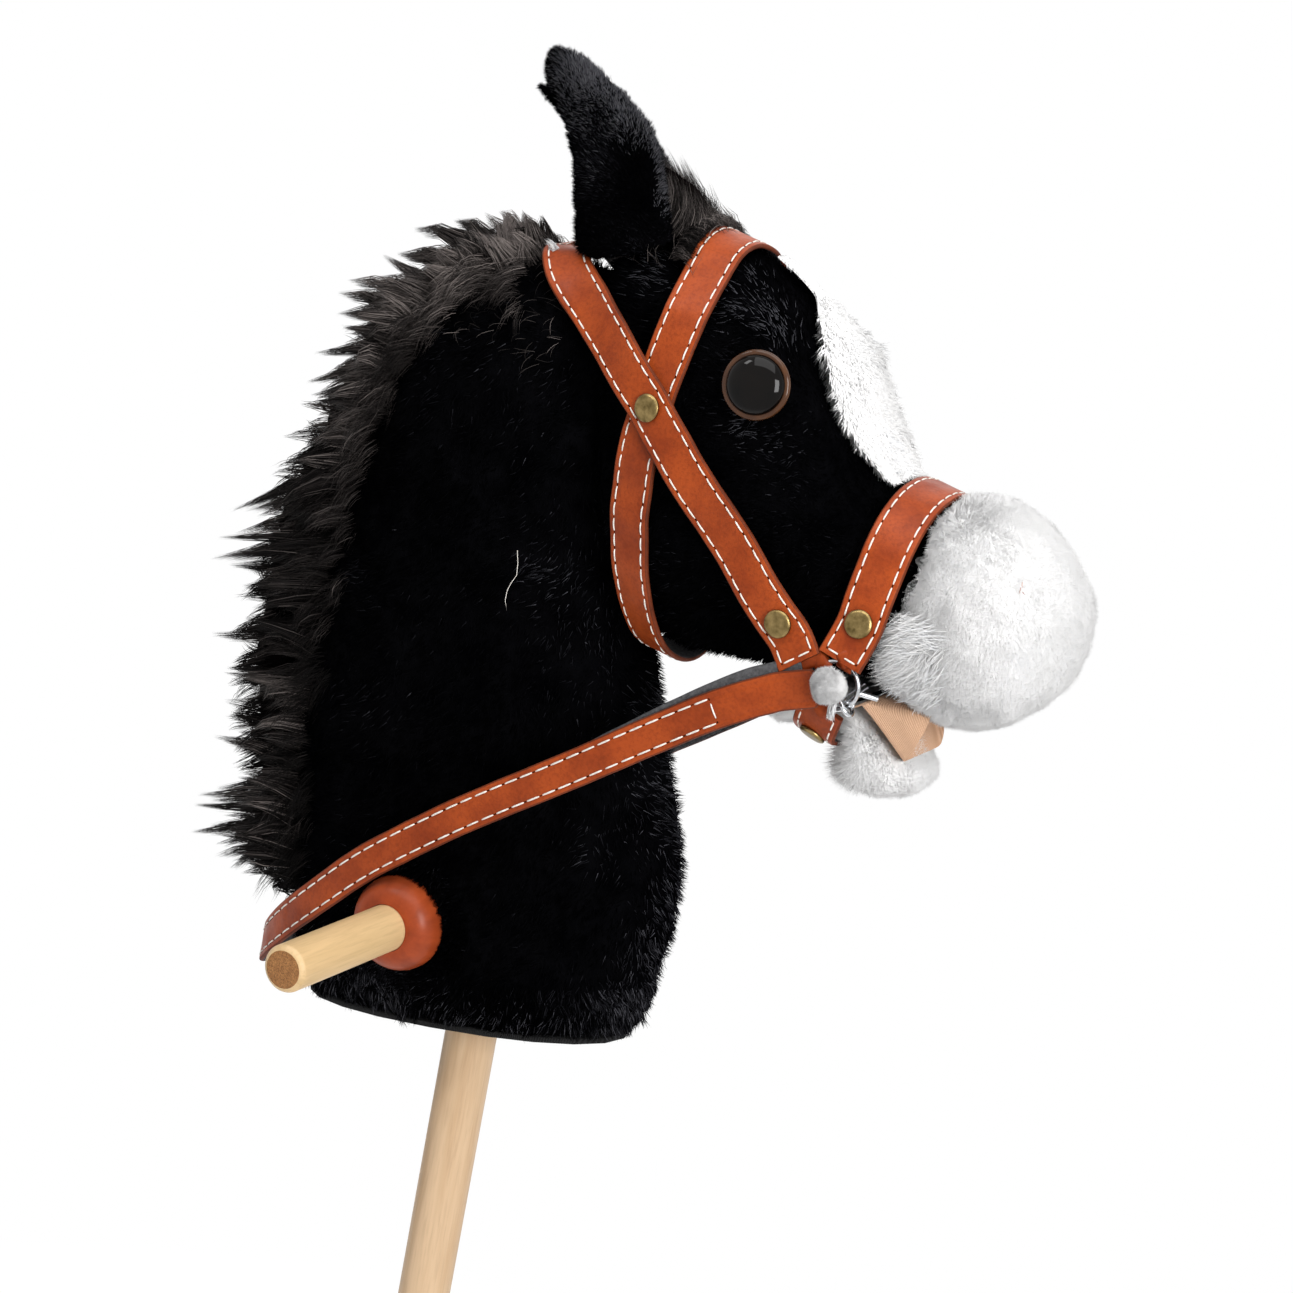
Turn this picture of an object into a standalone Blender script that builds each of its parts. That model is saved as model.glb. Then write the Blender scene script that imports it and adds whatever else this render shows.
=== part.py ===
# Hobby horse: a plush horse's head on a wooden stick, with a cross handle and a leather bridle.
# Metres, +Z up the stick, +X towards the nose, +Y to the horse's left.
# The origin is on the stick's axis, level with the handle.

import math

import bmesh
import bpy
import numpy as np
from mathutils import Vector
from mathutils.bvhtree import BVHTree

# Clearances
GAP = 0.0003
LEATHER_GAP = 0.0006
STRAP_ROOM = 0.0008
PIN_GAP = 0.0003

# Stick
STICK_DIAMETER = 0.025
STICK_BELOW_HANDLE = 0.610
STICK_ABOVE_HANDLE = 0.180
STICK_CHAMFER = 0.0015

# Cross handle and what holds it
HANDLE_DIAMETER = 0.022
HANDLE_LENGTH = 0.280
HANDLE_CHAMFER = 0.0020
COLLAR_DIAMETER = 0.045
COLLAR_HEIGHT = 0.014
COLLAR_RIM = 0.0015
COLLAR_SEAT_Y = 0.0435
BOLT_DIAMETER = 0.0048
BOLT_HEAD_DIAMETER = 0.0100
BOLT_HEAD_HEIGHT = 0.0035
BOLT_HEAD_TOP = 0.7
POCKET_ROOM = 0.001
WASHER_DIAMETER = 0.0120
WASHER_THICKNESS = 0.0012
NUT_ACROSS_CORNERS = 0.0092
NUT_HEIGHT = 0.0040
BOLT_TAIL = 0.0015

# Eyes
EYE_DIAMETER = 0.030
EYE_RIM_HEIGHT = 0.0025
EYE_DOME_HEIGHT = 0.0075
EYE_RIM = ((0.96, 0.0), (1.00, 0.4), (0.97, 0.85), (0.90, 1.0))
EYE_DOME_SHARE = 0.88
EYE_STEM_DIAMETER = 0.0050
EYE_STEM_CHAMFER = 0.0005
EYE_STEM_LENGTH = 0.014
EYE_LOCK_DIAMETER = 0.018
EYE_LOCK_THICKNESS = 0.0016
EYE_LOCK_DEPTH = 0.009
EYE_PLACE = (0.106, 0.0505, 0.291)
EYE_FORWARD_TURN = math.radians(10)
EYE_UPWARD_TURN = math.radians(8)

# Bridle
STRAP_WIDTH = 0.0215
STRAP_THICKNESS = 0.0024
TAB_WIDTH = 0.0060
REIN_WIDTH = 0.017
REIN_THICKNESS = 0.0024
REIN_TAB_WIDTH = 0.0060
REIN_START = 0.0050
REIN_STEPS = 3
RING_RADIUS = 0.0105
RING_WIRE = 0.0026
RING_CENTRE = (0.170, 0.0525, 0.176)
FOLD_WALL = 0.0008
FOLD_TAPER = 0.7
HUMP_REACH = 1.6
HUMP_FALL = 1.2
BAR_DIAMETER = 0.0036
EYELET_RADIUS = 0.0037
EYELET_WIRE = 0.0022
BAR_ANGLE = math.radians(-48)
CROWN_TAB_ANGLE = math.radians(138)
NOSE_TAB_ANGLE = math.radians(75)
REIN_TAB_ANGLE = math.radians(203)
CHIN_TAB_ANGLE = math.radians(250)
POMPON_DIAMETER = 0.0185
POMPON_OUTWARD = 0.0065
CAP_DIAMETER = 0.0125
CAP_HEIGHT = 0.0022
CAP_EDGE = 0.6
CAP_TOP = 0.9
POST_DIAMETER = 0.0032
HOLE_PAST = 0.0015
SPOT_FACE = 0.8
SEAT_DEPTH = 0.004
BACK_DIAMETER = 0.0080
BACK_THICKNESS = 0.0008

# Routes of the straps on the right side, from the ring to the middle
CROWN_ROUTE = ((0.1555, 0.0525, 0.1845), (0.141, 0.0535, 0.1935), (0.105, 0.0550, 0.2265),
               (0.0595, 0.0550, 0.2705), (0.031, 0.0500, 0.2915), (0.004, 0.0400, 0.3095),
               (-0.012, 0.0250, 0.3200), (-0.020, 0.0, 0.3260))
BROW_ROUTE = ((0.0690, 0.0, 0.1540), (0.0660, 0.0250, 0.1600), (0.0600, 0.0450, 0.1850),
              (0.0560, 0.0520, 0.2200), (0.0560, 0.0530, 0.2500), (0.0600, 0.0520, 0.2850),
              (0.0640, 0.0400, 0.3200), (0.0620, 0.0220, 0.3400), (0.0600, 0.0, 0.3460))
NOSE_ROUTE = ((0.1725, 0.0520, 0.1910), (0.1740, 0.0505, 0.2010), (0.1755, 0.0450, 0.2250),
              (0.1760, 0.0350, 0.2450), (0.1765, 0.0180, 0.2570), (0.1770, 0.0, 0.2600))
CHIN_ROUTE = ((0.1640, 0.0500, 0.1615), (0.1605, 0.0435, 0.1530), (0.1555, 0.0270, 0.1460),
              (0.1535, 0.0, 0.1440))
CROSSING = (0.0612, 0.2708)
CHEEK_RIVET = (0.1398, 0.1955)
NOSE_RIVET = (0.1745, 0.2040)
CHIN_RIVET = (0.1596, 0.1495)

# Mesh fineness
FORM_SIDES = 20
SMALL_FORM_SIDES = 12
FORM_STEPS = 2
STRAP_STEP = 0.0120
RING_STEPS = 20
WIRE_SIDES = 6
TURNED_SIDES = 20
SMALL_SIDES = 12
DOME_STEPS = 4
SMOOTHING = 4
POMPON_BANDS = 6
FINE_STEPS = 200
NUDGE = 0.03
CORNER_SHARE = 1.1
SHARP_ANGLE = math.radians(40)
ROUNDNESS = 2.2

# Soft forms: each row is a section, from one outline point to the other in the XZ plane,
# with the half thickness to each side
NECK = (
    ((-0.096, -0.064), (0.086, -0.031), 0.0370),
    ((-0.102, -0.051), (0.091, -0.017), 0.0415),
    ((-0.110, -0.016), (0.096, 0.008), 0.0445),
    ((-0.119, 0.050), (0.095, 0.052), 0.0455),
    ((-0.124, 0.110), (0.078, 0.104), 0.0450),
    ((-0.117, 0.170), (0.060, 0.152), 0.0450),
    ((-0.108, 0.222), (0.055, 0.200), 0.0460),
    ((-0.092, 0.272), (0.050, 0.250), 0.0450),
    ((-0.062, 0.304), (0.040, 0.294), 0.0360),
    ((-0.036, 0.317), (0.024, 0.314), 0.0220),
)
HEAD = (
    ((0.004, 0.318), (0.012, 0.240), 0.0240),
    ((0.008, 0.334), (0.024, 0.196), 0.0360),
    ((0.030, 0.343), (0.044, 0.166), 0.0450),
    ((0.058, 0.344), (0.068, 0.155), 0.0505),
    ((0.091, 0.335), (0.098, 0.156), 0.0525),
    ((0.122, 0.311), (0.126, 0.161), 0.0510),
    ((0.144, 0.279), (0.147, 0.166), 0.0475),
    ((0.162, 0.260), (0.162, 0.168), 0.0450),
    ((0.180, 0.256), (0.177, 0.170), 0.0420),
    ((0.192, 0.250), (0.189, 0.175), 0.0360),
)
MUZZLE = (
    ((0.184, 0.259), (0.181, 0.170), 0.0420),
    ((0.193, 0.264), (0.192, 0.162), 0.0480),
    ((0.210, 0.265), (0.208, 0.158), 0.0510),
    ((0.229, 0.257), (0.227, 0.162), 0.0490),
    ((0.243, 0.243), (0.242, 0.173), 0.0410),
    ((0.251, 0.229), (0.251, 0.186), 0.0280),
    ((0.254, 0.216), (0.254, 0.200), 0.0120),
)
JAW = (
    ((0.122, 0.152), (0.123, 0.142), 0.0100),
    ((0.130, 0.158), (0.129, 0.135), 0.0240),
    ((0.146, 0.164), (0.144, 0.146), 0.0285),
    ((0.163, 0.168), (0.1655, 0.145), 0.0305),
    ((0.177, 0.167), (0.1680, 0.127), 0.0350),
    ((0.186, 0.155), (0.1755, 0.1205), 0.0330),
    ((0.196, 0.143), (0.1875, 0.1205), 0.0260),
    ((0.202, 0.137), (0.1985, 0.125), 0.0140),
)
EAR = (
    ((-0.008, 0.320), (0.042, 0.326), 0.0085),
    ((-0.0135, 0.346), (0.0385, 0.352), 0.0090),
    ((-0.0215, 0.372), (0.0270, 0.379), 0.0085),
    ((-0.0315, 0.390), (0.0100, 0.396), 0.0072),
    ((-0.0340, 0.402), (-0.0070, 0.405), 0.0055),
    ((-0.0290, 0.409), (-0.0160, 0.409), 0.0030),
)
EAR_ROOT_Y = 0.022
EAR_TIP_Y = 0.034
LEFT_EAR_SET_BACK = 0.010
LEFT_EAR_LEAN = 0.035
LEFT_EAR_DROP = 0.024
MANE = (
    ((-0.034, 0.304), (-0.036, 0.322), 0.0060),
    ((-0.056, 0.288), (-0.064, 0.322), 0.0140),
    ((-0.080, 0.262), (-0.098, 0.298), 0.0170),
    ((-0.092, 0.226), (-0.126, 0.252), 0.0180),
    ((-0.100, 0.180), (-0.148, 0.200), 0.0180),
    ((-0.104, 0.130), (-0.160, 0.144), 0.0180),
    ((-0.104, 0.080), (-0.160, 0.086), 0.0170),
    ((-0.102, 0.035), (-0.150, 0.036), 0.0150),
    ((-0.100, 0.006), (-0.132, 0.004), 0.0110),
    ((-0.098, -0.006), (-0.116, -0.010), 0.0040),
)
FORELOCK = (
    ((-0.006, 0.330), (-0.006, 0.348), 0.0060),
    ((0.006, 0.334), (0.000, 0.368), 0.0120),
    ((0.026, 0.336), (0.030, 0.366), 0.0130),
    ((0.040, 0.338), (0.046, 0.354), 0.0090),
    ((0.044, 0.340), (0.049, 0.348), 0.0030),
)

# Base panel: its share of the hem's size, and its thickness
PANEL_SHARE = 0.97
PANEL_THICKNESS = 0.0025

# Blaze: distance along the head and half width, and its pile
BLAZE = ((3.70, 0.005), (4.3, 0.006), (4.6, 0.013), (4.9, 0.022), (5.2, 0.0265), (5.6, 0.0265),
         (6.0, 0.0235), (6.6, 0.0185), (7.05, 0.014))
BLAZE_THICKNESS = 0.0020
BLAZE_LIFT = 0.0005
BLAZE_STEPS = 12
BLAZE_ROWS = 5

# Mouth lining: an upper leaf under the muzzle, a fold at the corner and a lower leaf on the jaw
LINING = (
    ((0.2080, 0.1566), 0.0160),
    ((0.1990, 0.1582), 0.0220),
    ((0.1895, 0.1622), 0.0280),
    ((0.1815, 0.1662), 0.0330),
    ((0.1835, 0.1622), 0.0330),
    ((0.1925, 0.1512), 0.0280),
    ((0.2005, 0.1432), 0.0210),
)
LINING_THICKNESS = 0.0012

# Rein: centre line of the right half, from the ring to the back of the neck
REIN = (
    (0.1480, 0.0570, 0.1675),
    (0.1250, 0.0580, 0.1540),
    (0.0930, 0.0580, 0.1310),
    (0.0510, 0.0580, 0.0990),
    (0.0080, 0.0570, 0.0670),
    (-0.0380, 0.0545, 0.0290),
    (-0.0680, 0.0490, -0.0010),
    (-0.0940, 0.0370, -0.0280),
    (-0.1100, 0.0200, -0.0460),
    (-0.1150, 0.0000, -0.0520),
)

# Colours from the photograph, as linear values
BLACK_PLUSH = ((0.006, 0.006, 0.008), 0.95, 0.0)
WHITE_PLUSH = ((0.83, 0.81, 0.80), 0.95, 0.0)
MANE_HAIR = ((0.020, 0.016, 0.014), 0.75, 0.0)
LEATHER = ((0.46, 0.105, 0.030), 0.50, 0.0)
PALE_WOOD = ((0.66, 0.45, 0.25), 0.50, 0.0)
HANDLE_WOOD = ((0.72, 0.50, 0.26), 0.42, 0.0)
BROWN_LACQUER = ((0.32, 0.060, 0.020), 0.22, 0.0)
PEACH_CLOTH = ((0.74, 0.43, 0.26), 0.90, 0.0)
BASE_CLOTH = ((0.010, 0.010, 0.011), 0.95, 0.0)
EYE_GLAZE = ((0.030, 0.012, 0.006), 0.08, 0.0)
NYLON = ((0.80, 0.80, 0.78), 0.45, 0.0)
BRASS = ((0.34, 0.26, 0.10), 0.32, 1.0)
CHROME = ((0.75, 0.76, 0.78), 0.12, 1.0)
STEEL = ((0.55, 0.56, 0.58), 0.30, 1.0)

UP = Vector((0, 0, 1))
LEFTWARD = Vector((0, 1, 0))
HANDLE_X = -(STICK_DIAMETER / 2 + HANDLE_DIAMETER / 2 + GAP)
FOLD_THICKNESS = RING_WIRE + 2 * PIN_GAP + 2 * FOLD_WALL
SIDES = (("right", -1), ("left", 1))


def material(name, finish):
    """A Principled material with a colour, a roughness and a metallic value."""
    made = bpy.data.materials.get(name) or bpy.data.materials.new(name)
    made.use_nodes = True
    colour, roughness, metallic = finish
    shader = made.node_tree.nodes["Principled BSDF"]
    shader.inputs["Base Color"].default_value = (*colour, 1)
    shader.inputs["Roughness"].default_value = roughness
    shader.inputs["Metallic"].default_value = metallic
    made.diffuse_color = (*colour, 1)
    return made


def solid(name, vertices, faces, finish, origin=None):
    """A closed mesh object whose faces point out, with its origin where it turns."""
    place = Vector(origin) if origin else Vector((0, 0, 0))
    mesh = bpy.data.meshes.new(name)
    mesh.from_pydata([Vector(v) - place for v in vertices], [], faces)
    shape = bmesh.new()
    shape.from_mesh(mesh)
    bmesh.ops.recalc_face_normals(shape, faces=shape.faces)
    shape.to_mesh(mesh)
    shape.free()
    mesh.shade_smooth()
    mesh.set_sharp_from_angle(angle=SHARP_ANGLE)
    mesh.materials.append(material(name + "_finish", finish))
    made = bpy.data.objects.new(name, mesh)
    made.location = place
    bpy.context.scene.collection.objects.link(made)
    return made


def skin(rings, closed=False):
    """Vertices and faces of a tube through rings of equal count, with fans over its ends."""
    count = len(rings[0])
    vertices = [point for ring in rings for point in ring]
    faces = []
    for i in range(len(rings) if closed else len(rings) - 1):
        first, second = i * count, (i + 1) % len(rings) * count
        for j in range(count):
            k = (j + 1) % count
            faces.append((first + j, first + k, second + k, second + j))
    if not closed:
        for start, ring in ((0, rings[0]), ((len(rings) - 1) * count, rings[-1])):
            centre = len(vertices)
            vertices.append(sum(ring, Vector()) / count)
            faces += [(start + j, start + (j + 1) % count, centre) for j in range(count)]
    return vertices, faces


def smooth_row(rows, at):
    """The rows read at a whole or part index, on a Catmull-Rom curve through them."""
    last = len(rows) - 1
    i = min(int(at), last - 1)
    t = at - i
    p0, p1, p2, p3 = (rows[min(max(i + k, 0), last)] for k in (-1, 0, 1, 2))
    return 0.5 * (2 * p1 + (p2 - p0) * t + (2 * p0 - 5 * p1 + 4 * p2 - p3) * t**2
                  + (3 * p1 - p0 - 3 * p2 + p3) * t**3)


def section(rows, at):
    """One section of a soft form: its centre, long half axis and a function of angle."""
    x0, z0, x1, z1, half = smooth_row(rows, at)
    centre = Vector(((x0 + x1) / 2, 0, (z0 + z1) / 2))
    long_axis = Vector(((x0 - x1) / 2, 0, (z0 - z1) / 2))

    def point(angle):
        c, s = math.cos(angle), math.sin(angle)
        along = math.copysign(abs(c) ** (2 / ROUNDNESS), c)
        aside = math.copysign(abs(s) ** (2 / ROUNDNESS), s)
        return centre + long_axis * along + LEFTWARD * half * aside

    return point


def as_rows(sections):
    return [np.array((*first, *second, half)) for first, second, half in sections]


def swollen(name, sections, finish, steps=FORM_STEPS, sides=FORM_SIDES, shift=None):
    """A stuffed form lofted through its sections; shift moves each section by its share of the way."""
    rows = as_rows(sections)
    rings = []
    for k in range((len(rows) - 1) * steps + 1):
        point = section(rows, k / steps)
        ring = [point(math.tau * j / sides) for j in range(sides)]
        if shift:
            ring = [p + shift(k / steps / (len(rows) - 1)) for p in ring]
        rings.append(ring)
    return solid(name, *skin(rings), finish)


def turned(name, profile, base, axis, finish, sides=TURNED_SIDES, closed=False, origin=None):
    """A profile of (radius, distance) turned about an axis; closed joins its ends in a ring."""
    axis = Vector(axis).normalized()
    side = axis.orthogonal().normalized()
    other = axis.cross(side)
    vertices, rows, faces = [], [], []
    for radius, distance in profile:
        middle = Vector(base) + axis * distance
        if radius == 0:
            rows.append([len(vertices)] * sides)
            vertices.append(middle)
            continue
        rows.append(list(range(len(vertices), len(vertices) + sides)))
        for j in range(sides):
            turn = math.tau * j / sides
            vertices.append(middle + (side * math.cos(turn) + other * math.sin(turn)) * radius)
    pairs = list(zip(rows, rows[1:] + rows[:1])) if closed else list(zip(rows, rows[1:]))
    for first, second in pairs:
        for j in range(sides):
            k = (j + 1) % sides
            corners = (first[j], first[k], second[k], second[j])
            faces.append(tuple(dict.fromkeys(corners)))
    return solid(name, vertices, faces, finish, origin)


def rod(name, radius, start, end, finish, sides=TURNED_SIDES, chamfer=0.0):
    """A straight round bar, with chamfered ends if a chamfer is given."""
    start, end = Vector(start), Vector(end)
    length = (end - start).length
    profile = [(0, 0), (radius - chamfer, 0)]
    if chamfer:
        profile += [(radius, chamfer), (radius, length - chamfer)]
    profile += [(radius - chamfer, length), (0, length)]
    return turned(name, profile, start, end - start, finish, sides)


def torus(name, centre, axis, radius, wire, finish, steps=RING_STEPS, sides=WIRE_SIDES, origin=None):
    """A round ring of round wire."""
    turns = [math.tau * k / sides for k in range(sides)]
    profile = [(radius + wire / 2 * math.cos(t), wire / 2 * math.sin(t)) for t in turns]
    return turned(name, profile, centre, axis, finish, steps, closed=True, origin=origin)


def hidden(cutter):
    """Marks an object as a cutter, which isn't part of the horse."""
    cutter.hide_render = True
    cutter.display_type = "WIRE"
    return cutter


def cut(target, cutter, operation="DIFFERENCE"):
    """Cuts the target by the cutter, or joins them."""
    boolean = target.modifiers.new(cutter.name, "BOOLEAN")
    boolean.operation = operation
    boolean.solver = "EXACT"
    boolean.object = hidden(cutter)


def grown(source, gap):
    """A cutter: a copy of the source's own mesh, larger by the gap all over."""
    mesh = source.data.copy()
    shape = bmesh.new()
    shape.from_mesh(mesh)
    shape.normal_update()
    moves = [vertex.normal * gap * CORNER_SHARE for vertex in shape.verts]
    for vertex, move in zip(shape.verts, moves):
        vertex.co += move
    shape.to_mesh(mesh)
    shape.free()
    made = bpy.data.objects.new(source.name + "_room", mesh)
    made.location = source.location
    bpy.context.scene.collection.objects.link(made)
    return hidden(made)


def surface_of(forms):
    """A tree of the forms' own faces, for finding the nearest point on them."""
    vertices, faces = [], []
    for form in forms:
        start = len(vertices)
        vertices += [v.co + form.location for v in form.data.vertices]
        faces += [tuple(start + i for i in face.vertices) for face in form.data.polygons]
    return BVHTree.FromPolygons(vertices, faces)


def mirrored(point):
    return Vector((point[0], -point[1], point[2]))


class Strap:
    """A strap laid on the forms along a route.

    The route is its right half, up to the middle at y = 0, and starts at a ring, or in a
    closed strap at y = 0 too. The first free stations stay where the route has them, and a
    level strap doesn't tip forwards or back. Over says where it steps over a lower strap.
    """

    def __init__(self, forms, route, free=1, closed=False, over=None, level=False):
        tree = surface_of(forms)
        right = [Vector((x, -y, z)) for x, y, z in route]
        left = [mirrored(p) for p in right]
        before = [left[1]] if closed else []
        rows = [np.array(p) for p in before + right + [left[-2]]]
        first, last = len(before), len(before) + len(right) - 1
        run = (last - first) / FINE_STEPS
        fine = [Vector(smooth_row(rows, first + run * k)) for k in range(FINE_STEPS + 1)]
        line = self.spaced(fine)
        stuck = 0 if closed else free
        normals = []
        for i, place in enumerate(line):
            near, normal, _, _ = tree.find_nearest(place)
            if i >= stuck:
                line[i] = near + normal * (LEATHER_GAP + STRAP_THICKNESS / 2)
            if level:
                normal.x = 0
            normals.append(normal if i >= stuck else -LEFTWARD)
        for i, place in enumerate(line):
            if i == len(line) - 1 or (closed and i == 0):
                line[i] = Vector((place.x, 0, place.z))
        for _ in range(SMOOTHING):
            row = [mirrored(line[1]) if closed else line[0]] + line + [mirrored(line[-2])]
            eased = [(a + 2 * b + c) / 4 for a, b, c in zip(row, row[1:], row[2:])]
            line[stuck:] = eased[stuck:]
        for _ in range(SMOOTHING):
            ends = [mirrored(normals[1]) if closed else normals[0]], [mirrored(normals[-2])]
            row = ends[0] + normals + ends[1]
            normals = [(a + 2 * b + c).normalized() for a, b, c in zip(row, row[1:], row[2:])]
        self.rows = []
        for i, place in enumerate(line):
            ahead = line[i + 1] if i + 1 < len(line) else mirrored(line[i - 1])
            behind = line[i - 1] if i else (mirrored(line[1]) if closed else line[0])
            normal = normals[i].copy()
            if i == len(line) - 1 or (closed and i == 0):
                normal.y = 0
            along = (ahead - behind).normalized()
            across = along.cross(normal).normalized()
            normal = across.cross(along).normalized()
            self.rows.append([place, normal, across])
        self.push_clear(tree, stuck)
        if over:
            centre, radius, height, lower = over
            for row in self.rows:
                away = ((row[0].x - centre[0]) ** 2 + (row[0].z - centre[1]) ** 2) ** 0.5
                share = min(1.0, max(0.0, 1 + HUMP_FALL * (1 - away / radius)))
                row[0] = row[0] + row[1] * height * share
            self.push_clear(surface_of([lower]), stuck)

    def push_clear(self, tree, stuck):
        """Moves the stations out until the strap clears a surface, at them and midway."""
        for row in self.rows[stuck:]:
            row[0] = row[0] + row[1] * self.need(tree, *row)
        for first, second in zip(self.rows[stuck:], self.rows[stuck + 1:]):
            between = [(a + b) / 2 for a, b in zip(first, second)]
            need = self.need(tree, *between)
            first[0], second[0] = first[0] + first[1] * need, second[0] + second[1] * need

    def need(self, tree, place, normal, across):
        """How far the strap has to move out to clear the forms by its gap."""
        need = 0.0
        for offset in (-0.5, -0.25, 0.0, 0.25, 0.5):
            probe = place + across * STRAP_WIDTH * offset - normal * STRAP_THICKNESS / 2
            near, facing, _, _ = tree.find_nearest(probe)
            need = max(need, LEATHER_GAP - (probe - near).dot(facing))
        return need

    @staticmethod
    def spaced(fine):
        """Points at even steps along a fine line, with both of its ends."""
        reach = [0.0]
        for a, b in zip(fine, fine[1:]):
            reach.append(reach[-1] + (b - a).length)
        count = max(3, round(reach[-1] / STRAP_STEP))
        at = [reach[-1] * k / count for k in range(count + 1)]
        axes = [np.interp(at, reach, [p[axis] for p in fine]) for axis in range(3)]
        return [Vector(p) for p in zip(*axes)]

    def stations(self, side):
        """Half of the strap as ribbon stations, from its start to the middle."""
        rows = self.rows if side < 0 else [[mirrored(v) for v in row] for row in self.rows]
        return [(place, normal, across, STRAP_WIDTH, STRAP_THICKNESS) for place, normal, across in rows]

    def stud(self, target, side):
        """The place on the strap nearest to one in the XZ plane, and its piece's normal."""
        goal = Vector((target[0], 0, target[1]))

        def nearest(pair):
            start, way = pair[0][0], pair[1][0] - pair[0][0]
            flat = Vector((way.x, 0, way.z))
            share = (goal - Vector((start.x, 0, start.z))).dot(flat) / flat.length_squared
            return start + way * min(1.0, max(0.0, share))

        def away(pair):
            place = nearest(pair)
            return (place.x - target[0]) ** 2 + (place.z - target[1]) ** 2

        first, second = min(zip(self.rows, self.rows[1:]), key=away)
        middle = nearest((first, second))
        along = (second[0] - first[0]).normalized()
        normal = (first[1] + second[1]).normalized()
        normal = (normal - along * normal.dot(along)).normalized()
        return (middle, normal) if side < 0 else (mirrored(middle), mirrored(normal))


def ribbon(name, stations, finish, closed=False, origin=None):
    """A flat strap through stations of (centre, normal, across, width, thickness)."""
    rings = []
    for centre, normal, across, width, thickness in stations:
        half_w, half_t = across * width / 2, normal * thickness / 2
        rings.append([centre - half_w - half_t, centre + half_w - half_t,
                      centre + half_w + half_t, centre - half_w + half_t])
    count = len(rings)
    vertices = [point for ring in rings for point in ring]
    faces = []
    for i in range(count if closed else count - 1):
        a, b = 4 * i, 4 * ((i + 1) % count)
        for j in range(4):
            k = (j + 1) % 4
            faces += [(a + j, a + k, b + k), (a + j, b + k, b + j)]
    if not closed:
        last = 4 * (count - 1)
        faces += [(3, 2, 1, 0), (last, last + 1, last + 2, last + 3)]
    return solid(name, vertices, faces, finish, origin)


def ring_point(angle, side, radius=RING_RADIUS):
    """A point on a bit ring."""
    x, y, z = RING_CENTRE
    return Vector((x + radius * math.cos(angle), side * y, z + radius * math.sin(angle)))


def tab(angle, side, across, width):
    """The fold of a strap's end round the ring: stations from outside the ring to inside it."""
    flat = LEFTWARD * side
    radial = Vector((math.cos(angle), 0, math.sin(angle)))
    square = radial.cross(LEFTWARD).normalized()
    if square.dot(across) < 0:
        square = -square
    reach = RING_WIRE / 2 + PIN_GAP + FOLD_WALL
    middle = ring_point(angle, side)
    return [(middle - radial * reach, flat, square, width, FOLD_THICKNESS * FOLD_TAPER),
            (middle - radial * reach / 2, flat, square, width, FOLD_THICKNESS),
            (middle + radial * reach / 2, flat, square, width, FOLD_THICKNESS),
            (middle + radial * reach, flat, square, width, FOLD_THICKNESS * FOLD_TAPER)]


def clear_scene():
    for item in list(bpy.data.objects):
        bpy.data.objects.remove(item, do_unlink=True)


def build_stick():
    top = Vector((0, 0, STICK_ABOVE_HANDLE))
    foot = Vector((0, 0, -STICK_BELOW_HANDLE))
    stick = rod("stick", STICK_DIAMETER / 2, foot, top, PALE_WOOD, chamfer=STICK_CHAMFER)
    room = rod("stick_room", STICK_DIAMETER / 2 + GAP, foot, top + UP * GAP, NYLON)
    return stick, hidden(room)


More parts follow.
